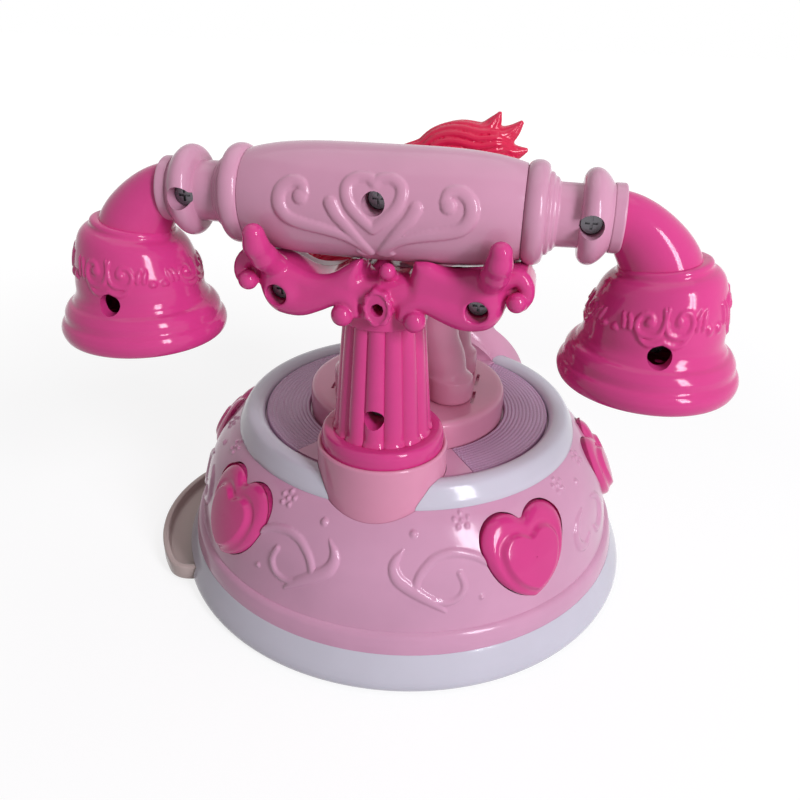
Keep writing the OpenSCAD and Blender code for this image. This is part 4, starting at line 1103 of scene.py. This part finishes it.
def make_handset(mats):
    half = handset_profile()
    line = np.vstack([half[::-1] * [1, -1], half[1:]])
    line = np.vstack([[AXIS, line[0, 1]], line, [AXIS, line[-1, 1]]])
    fine = []
    for a, b in zip(line[:-1], line[1:]):
        k = max(int(np.linalg.norm(b - a) / 0.45), 1)
        fine += [a + (b - a) * t / k for t in range(k)]
    line = np.array(fine + [line[-1]])
    n = 240
    radius, x = line[:, 0], line[:, 1]
    a = 2 * np.pi * np.arange(n) / n
    base = np.stack([np.tile(x, (n, 1)), AXIS_Y + np.outer(np.cos(a), radius),
                     AXIS_Z + np.outer(np.sin(a), radius)], 2).reshape(-1, 3)
    out = np.stack([np.zeros((n, len(x))), np.repeat(np.cos(a)[:, None], len(x), 1),
                    np.repeat(np.sin(a)[:, None], len(x), 1)], 2).reshape(-1, 3)
    m = len(x)
    i, j = np.arange(n)[:, None], np.arange(m)[None]
    quads = np.stack([(i * m + j).ravel(), ((i + 1) % n * m + j).ravel(),
                      ((i + 1) % n * m + (j + 1) % m).ravel(), (i * m + (j + 1) % m).ravel()], 1)
    lines = on_surface(grip_lines(), grip_point)
    front = [l * [1, -1, 1, 1] + [0, 2 * AXIS_Y, 0, 0] for l in lines]
    pick = np.flatnonzero(np.abs(base[:, 0]) < 28)
    base[pick] += out[pick] * relief(base[pick], lines + front, 0.85, 0.5)[:, None]
    body = new_object("handset_cover", base, quads)
    cuts = [rod("well", WELL, 0, 30, rearward(0, AXIS_Y + 6, AXIS_Z + 2.8))]
    for s in (-1, 1):
        cuts.append(rod("well", WELL, 0, 30, rearward(s * 53.3, AXIS_Y + 5, AXIS_Z)))
    body = boolean(body, "DIFFERENCE", *cuts)
    rear, front = halves(body, AXIS_Y)
    rear.name = "handset_rear_cover"
    front.name = "handset_front_cover"
    dress(rear, mats["pale"], "handset", "pale_plastic", "handset_rear_shell")
    dress(front, mats["pale"], "handset", "pale_plastic", "handset_front_shell")


# Length in mm of one degree round the band of curls
DEGREE_MM = 0.3
BELL = [(20.1, 96.5), (22.9, 97.8), (23.9, 100.3), (23.5, 102.4), (22.5, 103.6), (22.35, 104.6),
        (22.1, 106.0),
        (21.0, 107.7), (19.7, 108.5), (19.2, 109.4), (18.6, 110.4), (18.2, 111.8), (18.0, 114.8),
        (17.4, 119.0),
        (16.3, 123.0), (15.1, 126.0), (13.6, 127.8), (12.2, 128.6), (11.7, 129.2), (11.7, 129.9),
        (11.3, 130.5),
        (10.6, 130.8)]


def bell_radius(z):
    side = catmull(BELL, 0.3)
    return np.interp(z, side[:, 1], side[:, 0])


def bell_point(angle, z):
    a = np.radians(90 + angle)
    r = bell_radius(z)
    return np.stack([r * np.cos(a), r * np.sin(a), z], 1)


def bell_lines():
    """Band of curls round a bell, the same on each quarter."""
    curl = [(-3.2, 3.4), (-3.5, 0.6), (-2.6, -2.3), (0, -3.3), (2.4, -2.3), (3.1, 0.2), (2.2, 2.1),
            (0.4, 2.3), (-0.6, 1.2)]
    under = [(0.0, 115.4), (5.0, 114.7), (11.0, 114.4), (16.5, 115.4), (21.0, 117.4)]
    lines = []
    for quarter in (0, 90, 180, 270):
        for s in (-1, 1):
            middle = [quarter + s * (12.0 + x / DEGREE_MM) for x in [c[0] for c in curl] + [-0.1]]
            lines.append(stroke([(a, 119.8 + c[1]) for a, c in zip(middle, curl)],
                                (0.5, 0.7, 0.75, 0.75, 0.7, 0.7)))
            lines.append(dot(middle[-1], 120.2, 1.35))
            lines.append(stroke([(quarter + s * x, z) for x, z in under], (0.6, 0.7, 0.7, 0.6, 0.4)))
            for x in (26.5, 32.0):
                lines.append(stroke([(quarter + s * x, 118.2), (quarter + s * (x + 1.0), 120.2),
                                     (quarter + s * (x + 3.4), 121.8)], (0.7, 0.85, 0.4)))
            lines.append(dot(quarter + s * 39.5, 117.4, 1.25))
    return lines


def sweep(name, points, radii, n=96):
    """Closed tube through points in the XZ plane, with capped ends."""
    p = np.asarray(points, float)
    t = np.gradient(p, axis=0)
    t /= np.linalg.norm(t, axis=1)[:, None]
    side = np.column_stack([t[:, 2], np.zeros(len(t)), -t[:, 0]])
    a = 2 * np.pi * np.arange(n) / n
    rings = []
    for c, s, r in zip(p, side, radii):
        rings.append(c + r * (np.outer(np.cos(a), s) + np.outer(np.sin(a), [0, 1, 0])))
    rings = [p[0] + (rings[0] - p[0]) * 1e-4] + rings + [p[-1] + (rings[-1] - p[-1]) * 1e-4]
    return new_object(name, np.concatenate(rings), ring_quads(n, len(rings)))


def make_bell(side, mats):
    """One bell with its elbow, in two halves."""
    x0 = 73.3 * side
    outer = catmull(BELL, 0.4)
    loop = np.vstack([outer, [(AXIS, 130.0), (AXIS, 126.0), (11.5, 125.8), (14.5, 117.5), (15.6, 110.0),
                              (18.0, 104.0), (18.1, 98.3), (18.3, 96.9), (19.0, 96.35)]])
    n = 420
    verts, quads = lathe(loop, n)
    out = turned_normals(loop, n, 1e-9)
    shown = np.zeros(len(loop), bool)
    shown[:len(outer)] = True
    pick = np.flatnonzero(np.tile(shown, n) & (verts[:, 2] > 112) & (verts[:, 2] < 127))
    verts[pick] += out[pick] * relief(verts[pick], on_surface(bell_lines(), bell_point), 0.7, 0.6,
                                      0.4)[:, None]
    verts[:, 2] += 0.158 * side * verts[:, 0] * smoothstep((verts[:, 2] - 113) / 12)
    name = "left" if side > 0 else "right"
    bell = new_object(name + "_bell_cover", verts + [x0, AXIS_Y, 0], quads)
    bend = catmull([(57.5, 140.5, 6.9), (61.0, 140.3, 7.1), (64.4, 138.5, 7.8), (67.8, 135.4, 8.8),
                    (71.0, 131.4, 9.8), (73.0, 127.8, 10.3), (73.7, 124.5, 10.4)], 0.5)
    path = np.column_stack([side * bend[:, 0], np.full(len(bend), AXIS_Y), bend[:, 1]])
    elbow = sweep("elbow", path, bend[:, 2])
    bell = boolean(bell, "UNION", elbow)
    bell = boolean(bell, "DIFFERENCE", rod("well", WELL, 0, 30, rearward(x0, AXIS_Y + 7, 111.6)))
    rear, front = halves(bell, AXIS_Y)
    rear.name = name + "_bell_rear_cover"
    front.name = name + "_bell_front_cover"
    dress(rear, mats["hot"], "handset", "hot_plastic", name + "_bell_rear")
    dress(front, mats["hot"], "handset", "hot_plastic", name + "_bell_front")


# ---- figure ------------------------------------------------------------------


def leg_field(p, hip, knee, foot):
    """Distance to one leg that leans out from hip to knee and flares at the foot."""
    middle = [(a + b) / 2 + c for a, b, c in zip(knee, foot, (0, 0, 1.5))]
    leg = chain(p, [(*hip, 8.8), (*knee, 6.9), (*middle, 6.7), (foot[0] * 0.95, foot[1], 73.5, 7.0)], 4)
    flare = 6.9 + 0.9 * smoothstep((77 - p[:, 2]) / 9)
    spread = np.hypot(p[:, 0] - foot[0], (p[:, 1] - foot[1]) / 1.06) - flare
    hoof = np.hypot(np.maximum(spread + 1.2, 0), np.maximum(68.2 - p[:, 2], 0)) - 1.2
    return blend(leg, np.maximum(hoof, p[:, 2] - 74.5), 4)


def pony_field(p):
    """Distance to the plain pony of the stage."""
    d = chain(p, [(0, 9, 113, 12.6), (0, 0, 111, 12.0), (0, -10, 110.8, 11.6), (0, -20, 112.4, 11.6)], 4)
    for s in (-1, 1):
        d = blend(d, leg_field(p, (s * 6.6, 7, 105), (s * 9.8, 8.6, 92), (s * 16.4, 9.4, 68)), 5)
        d = blend(d, leg_field(p, (s * 6.0, -19, 104), (s * 9.4, -17, 91), (s * 15.4, -12.4, 68)), 5)
    neck = chain(p, [(0, -19, 114, 10.6), (-2.6, -21.6, 123, 7.9), (-5.4, -23.2, 133, 6.5),
                     (-8, -24.4, 142, 6.6)], 3)
    d = blend(d, neck, 6)
    head = chain(p, [(-8, -25, 143.6, 7.7), (-11.6, -28.8, 140.8, 6.6), (-14.6, -32, 138.0, 5.0),
                     (-17.0, -34.6, 136.4, 4.9)], 3)
    d = blend(d, head, 3)
    for a, b in (((-2.4, -26.4, 140.6), (1.6, -27.6, 143.4)),
                 ((-14.4, -22.6, 143.0), (-18.0, -21.8, 145.2))):
        d = blend(d, taper(p, a, b, 2.4, 0.9), 1.2)
    for tip in ((-18.6, -33.6, 137.4), (-15.0, -37.4, 137.4)):
        d = carve(d, ball(p, tip, 0.9), 0.6)
    mouth = np.abs(p[:, 2] - 134.4) - 0.22
    d = np.where(p[:, 1] < -33.0, carve(d, np.maximum(mouth, -d - 0.5), 0.3), d)
    return np.maximum(d, 67.03 - p[:, 2])


def strands(p, line, count, depth, wind):
    """Limb through x, y, z, r with soft grooves that wind along it like hair."""
    p_line = catmull(line, 1.0)
    best = np.full(len(p), 1e9)
    where = np.zeros((len(p), 2))
    run = 0.0
    for a, b in zip(p_line[:-1], p_line[1:]):
        ab = b[:3] - a[:3]
        size = np.linalg.norm(ab)
        t = np.clip(((p - a[:3]) @ ab) / max(size * size, 1e-9), 0, 1)
        v = p - a[:3] - t[:, None] * ab
        d = np.linalg.norm(v, axis=1) - (a[3] + (b[3] - a[3]) * t)
        side = np.cross(ab / max(size, 1e-9), (0, 1, 0))
        side /= max(np.linalg.norm(side), 1e-9)
        up = np.cross(side, ab / max(size, 1e-9))
        nearer = d < best
        where[nearer, 0] = np.arctan2(v[nearer] @ up, v[nearer] @ side)
        where[nearer, 1] = run + t[nearer] * size
        best = np.where(nearer, d, best)
        run += size
    groove = np.abs(np.cos(0.5 * count * where[:, 0] + wind * where[:, 1] + 0.7 * np.sin(0.35 * where[:, 1])))
    fade = smoothstep((run + 2 - where[:, 1]) / 6)
    return best + depth * fade * (1 - groove) ** 1.5


def mane_field(p):
    """Distance to the flame-shaped mane with its three tips."""
    crest = strands(p, [(4.6, -18, 141.6, 4.6), (-1, -18.6, 142.8, 5.7), (-6, -19.6, 145.2, 7.0),
                        (-12, -20, 146.6, 7.4),
                        (-18, -20, 146.6, 6.9), (-22.5, -20, 147, 6.0), (-25, -20, 147, 4.6)], 16, 0.75,
                        0.10)
    d = crest
    for tip in ([(-17, -20, 148, 5.0), (-20.4, -20, 150.2, 3.9), (-22.6, -20, 153.2, 2.5),
                 (-24.2, -20, 156.4, 0.8)],
                [(-21, -20, 147.4, 5.0), (-25.2, -20, 148.8, 3.8), (-28.6, -20, 150.8, 2.5),
                 (-31.4, -20, 153.8, 0.9)],
                [(-21, -20, 145.6, 4.8), (-25.6, -20, 145.2, 3.8), (-29.6, -20, 144.4, 2.7),
                 (-33.6, -20, 145.4, 0.9)]):
        d = blend(d, strands(p, tip, 8, 0.5, 0.2), 0.8)
    fall = strands(p, [(-3.5, -17.4, 139.5, 4.8), (-3.2, -14.4, 131.5, 4.6), (-1.4, -10.4, 124.4, 3.2),
                       (0.4, -7.0, 119.6, 1.6)], 10, 0.6, 0.16)
    return blend(d, fall, 1.2)


def tail_field(p):
    """Distance to a full tail that swings out to one side."""
    d = strands(p, [(0, 16.5, 119.0, 3.6), (6, 20.0, 121.0, 4.4), (13, 21.8, 121.6, 4.9),
                    (20.5, 22.4, 119.4, 4.9),
                    (26.4, 22.4, 115.0, 4.3), (29.6, 22.2, 109.6, 3.2), (29.8, 22.0, 105.4, 1.2)], 12, 0.7,
                    0.12)
    lock = strands(p, [(8, 20.4, 118, 4.2), (14, 22.0, 115.4, 4.2), (19.4, 22.6, 111.6, 3.4),
                       (21.0, 22.6, 107.8, 1.2)],
                   10, 0.6, 0.15)
    return blend(d, lock, 0.7)


def make_pony(mats):
    fine = 0.6
    verts, quads = skin(pony_field, (-28, -42, 64), (28, 26, 152), fine)
    body = new_object("pony_body_cover", verts, quads)
    dress(body, mats["flesh"], ROOT, "flesh_plastic", "pony_body", crease=60)
    verts, quads = skin(mane_field, (-37, -30, 114), (12, -2, 159), 0.45)
    mane = new_object("pony_mane_cover", verts, quads)
    dress(mane, mats["crimson"], ROOT, "crimson_plastic", "pony_mane", crease=70)
    verts, quads = skin(tail_field, (-6, 10, 101), (36, 30, 129), 0.45)
    tail = new_object("pony_tail_cover", verts, quads)
    dress(tail, mats["crimson"], ROOT, "crimson_plastic", "pony_tail", crease=70)
    look = at(-10.4, -27.5, 142.9, ("Z", -43.4))
    for name, s in (("left", -1), ("right", 1)):
        half = [(1.55 * math.sin(t), 1.55 * math.cos(t)) for t in np.linspace(0, math.pi, 17)]
        verts, quads = lathe_axis(half, 32)
        verts = verts * [0.75, 1.05, 1.4]
        eye = new_object("pony_eye_" + name, moved(verts, look @ Matrix.Translation((s * 6.3, 0, 0))),
                         quads)
        dress(eye, mats["black"], ROOT, "black_plastic")


# ---- dial --------------------------------------------------------------------


def turned(name, outline, place, n):
    """Closed solid turned about the local Z of a place."""
    loop = np.array(outline, float)
    loop[:, 0] = np.maximum(loop[:, 0], AXIS)
    verts, quads = lathe(loop, n)
    return new_object(name, moved(verts, place), quads)


def make_dial_housing(mats):
    hood = turned("hood", [(0, 0), (40.2, 0), (41, -0.8), (41, -4), (39.8, -7.5), (37, -10.6), (32.5, -13),
                           (27, -14),
                           (0, -14)], DIAL @ Matrix.Translation((0, -8, 0)), 280)
    hood = boolean(hood, "INTERSECT", block("above", (-100, -140, 50.3), (100, 60, 200)))
    barrel = turned("barrel", [(0, -12), (31.8, -12), (31.8, 4.6), (31.3, 5.7), (30.8, 6), (30.3, 6),
                               (29.85, 5.5),
                               (29.8, 4.8), (29.8, -11), (0, -11)], DIAL, 280)
    inside_cut = turned("inside", [(0, -9.6), (27.6, -9.6), (27.6, 0.5), (29.8, 0.5), (29.8, 30), (0, 30)],
                        DIAL, 200)
    housing = boolean(hood, "UNION", turned("core", [(0, -12), (31.5, -12), (31.5, 0.4), (0, 0.4)], DIAL,
                                            200))
    housing = boolean(housing, "DIFFERENCE", inside_cut)
    barrel = boolean(barrel, "DIFFERENCE", turned("bore", [(0, -9.6), (27.6, -9.6), (27.6, 1), (0, 1)],
                                                  DIAL, 200))
    housing = boolean(housing, "UNION", barrel)
    half_round = [(0.8 * math.cos(t), 0.8 * math.sin(t)) for t in np.linspace(-1.57, 1.57, 9)]
    beads = []
    for k in range(48):
        a = math.radians(7.5 * k + 3.75)
        spot = Matrix.Translation((30.75 * math.cos(a), 30.75 * math.sin(a), 5.75))
        beads.append(turned("bead", half_round, DIAL @ spot, 16))
    notch = block("notch", (28.8, -1.75, 4.9), (31.15, 1.75, 16))
    notch.data.transform(scaled_place(DIAL @ Matrix.Rotation(math.radians(STOP_TURN), 4, "Z")))
    housing = boolean(housing, "UNION", *beads)
    housing = boolean(housing, "DIFFERENCE", notch)
    housing.name = "dial_housing_cover"
    dress(housing, mats["pale"], ROOT, "pale_plastic", "dial_housing", crease=40)


def scaled_place(place):
    """The same place for points in metres."""
    m = Matrix(place)
    for k in range(3):
        m[k][3] *= MM
    return m


def make_number_plate(mats):
    plate = turned("number_plate_cover", [(0, 0.5), (29.65, 0.5), (29.65, 1.8), (29.3, 2.0), (13, 2.0),
                                          (12.6, 2.25),
                                          (12.0, 2.25), (11.6, 2.0), (3, 2.0), (3, 5.4), (0, 5.4)], DIAL,
                                          200)
    dress(plate, mats["white"], ROOT, "white_plastic", "number_plate", crease=40)
    made = []
    for k in range(10):
        data = bpy.data.curves.new("digit", "FONT")
        data.body = str((k + 1) % 10)
        data.size = 6.2 * MM
        data.extrude = 0.09 * MM
        data.align_x = "CENTER"
        data.align_y = "CENTER"
        data.resolution_u = 6
        text = bpy.data.objects.new("digit", data)
        bpy.context.collection.objects.link(text)
        a = math.radians(HOLES_FROM + 30 * k)
        spot = Matrix.Translation((HOLES_R * math.cos(a), HOLES_R * math.sin(a), 2.03))
        text.matrix_world = scaled_place(DIAL @ spot)
        made.append(text)
    bpy.context.view_layer.update()
    graph = bpy.context.evaluated_depsgraph_get()
    whole = bmesh.new()
    for text in made:
        mesh = bpy.data.meshes.new_from_object(text.evaluated_get(graph))
        mesh.transform(text.matrix_world)
        whole.from_mesh(mesh)
    bmesh.ops.remove_doubles(whole, verts=whole.verts, dist=0.005 * MM)
    for text in made:
        bpy.data.objects.remove(text)
    mesh = bpy.data.meshes.new("dial_digits")
    whole.to_mesh(mesh)
    whole.free()
    digits = bpy.data.objects.new("dial_digits", mesh)
    bpy.context.collection.objects.link(digits)
    dress(digits, mats["ink"], ROOT, "hot_plastic", crease=30)


def make_finger_wheel(mats):
    wheel = turned("finger_wheel_cover", [(3.35, 2.6), (28.9, 2.6), (29.2, 2.9), (29.2, 4.6), (28.6, 5.15),
                                          (27.6, 5.2), (27.0, 5.0), (14.6, 5.0), (13.8, 5.2), (3.35, 5.2)],
                                          DIAL, 240)
    cuts = []
    for k in range(10):
        place = DIAL @ Matrix.Rotation(math.radians(HOLES_FROM + 30 * k), 4,
                                       "Z") @ Matrix.Translation((HOLES_R, 0, 0))
        cuts.append(turned("hole", [(0, 1.6), (4.2, 1.6), (4.2, 4.2), (4.35, 4.65), (4.8, 5.05),
                                    (5.3, 5.3), (0, 6)],
                           place, 72))
    wheel = boolean(wheel, "DIFFERENCE", *cuts)
    dress(wheel, mats["hot"], "dial_wheel", "hot_plastic", "finger_wheel", crease=40)


def make_dial_hub(mats):
    z = 5.55
    hub = turned("dial_hub_cover", [(0, z), (8.3, z), (8.5, z + 0.2), (8.4, z + 0.7), (7.8, z + 1.15),
                                    (7.3, z + 1.2),
                                    (6.9, z + 1.05), (6.4, z + 1.2), (5.0, z + 1.6), (2.5, z + 1.75),
                                    (0, z + 1.8)],
                 DIAL, 160)
    heart = prism("heart", heart_outline(6.4, 0.1), z + 0.5, z + 2.15,
                  DIAL @ Matrix.Translation((0, -0.3, 0)))
    hub = boolean(hub, "UNION", heart)
    dress(hub, mats["pearl"], ROOT, "pearl_plastic", "dial_hub", crease=40)


def make_finger_stop(mats):
    """Metal bar that reaches in over the wheel."""
    z = 5.55
    side = [(17.2, 0.2), (17.6, 0.0), (31, 0.0), (31, 1.2), (30.6, 1.4), (18.6, 1.4), (18.0, 1.75),
            (17.3, 1.7),
            (17.0, 1.2)]
    flat = [(x, y + z) for x, y in side]
    place = (DIAL @ Matrix.Rotation(math.radians(STOP_TURN), 4, "Z")
             @ Matrix.Rotation(math.radians(90), 4, "X"))
    stop = prism("finger_stop_cover", rounded(flat, 0.25, 4), -1.6, 1.6, place)
    trim = prism("trim", rounded([(16, -1.6), (31, -1.6), (31, 1.6), (16, 1.6)], [1.5, 0.2, 0.2, 1.5], 8),
                 4, 9,
                 DIAL @ Matrix.Rotation(math.radians(STOP_TURN), 4, "Z"))
    stop = boolean(stop, "INTERSECT", trim)
    dress(stop, mats["steel"], ROOT, "steel", "finger_stop", crease=35)


def make_dial(mats):
    make_dial_housing(mats)
    make_number_plate(mats)
    make_finger_wheel(mats)
    make_dial_hub(mats)
    make_finger_stop(mats)


# ---- tray --------------------------------------------------------------------


def tray_outline(d):
    """Outline of the tray with a bowed front, made smaller by d. The count stays the same."""
    w, r, c = 32.6 - d, 56 - d, 9 - d
    u0 = 93.2 - 56
    uc = u0 + math.sqrt((r - c) ** 2 - (w - c) ** 2)
    b = math.atan2(w - c, uc - u0)
    low = arc((uc, -(w - c)), c, -math.pi / 2, -b, 14)
    bow = arc((u0, 0), r, -b, b, 60)[1:-1]
    back = 28.2 + d
    k = min(2.0, 2.0 + d)
    rear = np.array([(back, w - k), (back + 0.3 * k, w - 0.3 * k), (back + k, w)])
    return np.vstack([rear * [1, -1], low, bow, low[::-1] * [1, -1], rear[::-1]])


def make_tray(mats):
    levels = [(0.5, 1.8), (0.12, 1.9), (0, 2.25), (0, 6.6), (0.15, 7.05), (0.5, 7.2), (1.7, 7.2),
              (2.05, 7.05),
              (2.2, 6.7), (2.3, 4.2), (2.7, 3.3), (3.5, 3.0)]
    rings = [np.column_stack([tray_outline(d), np.full(len(tray_outline(d)), z)]) for d, z in levels]
    centre = rings[-1].mean(0)
    rings.append(centre + (rings[-1] - centre) * 1e-3)
    rings.insert(0, (rings[0] - [centre[0], 0, 0]) * [1e-3, 1e-3, 1] + [centre[0], 0, 0])
    verts = moved(np.concatenate(rings), Matrix.Rotation(math.radians(TRAY_TURN), 4, "Z"))
    tray = new_object("trinket_tray_cover", verts, ring_quads(len(rings[0]), len(rings)))
    dress(tray, mats["cream"], "tray", "cream_plastic", "trinket_tray", crease=50)


# ---- CAD nodes that stay -------------------------------------------------------

KEPT = {
    "base_plate": "pale", "battery_door": "pale", "battery_cells": "sleeve", "battery_contacts": "steel",
    "circuit_board": "board", "base_speaker": "black", "power_switch": "black", "rubber_feet": "rubber",
    "base_screws": "steel", "top_deck": "dome", "led_lamps": "white", "column_screw": "steel",
    "hook_switch": "black", "hook_plunger": "hot", "cradle_screws": "steel", "left_grille": "hot",
    "right_grille": "hot", "handset_screws": "steel",
}


def paint_kept(mats):
    for node, look in KEPT.items():
        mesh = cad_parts[node].data
        mesh.materials.clear()
        mesh.materials.append(mats[look])


def main():
    bpy.context.scene.view_settings.view_transform = "Standard"
    add_camera()
    add_world()
    add_floor()
    for s in (-1, 1):
        pane = (-0.66 + 0.033 * s, 0.60 + 0.033 * s, 0.50)
        add_lamp("window", pane, (0, 0.02, 0.08), 0.075, 0.56, 3.7, (0.98, 0.98, 1.06))
    add_lamp("sky", (0.1, -0.2, 1.3), (0, 0, 0.05), 1.2, 1.2, 3.8, (0.98, 0.99, 1.0))
    mats = make_materials()
    paint_kept(mats)
    make_dome(mats)
    make_foot_ring(mats)
    make_upper_ring(mats)
    make_lens("lens_left_cover", "lens_left", -55.4, 110.8, mats)
    make_lens("lens_right_cover", "lens_right", 124.6, 110.8, mats)
    make_stage(mats)
    make_cup(mats)
    make_column(mats)
    make_cradle(mats)
    make_handset(mats)
    make_bell(1, mats)
    make_bell(-1, mats)
    make_hearts(mats)
    make_pony(mats)
    make_dial(mats)
    make_tray(mats)


main()
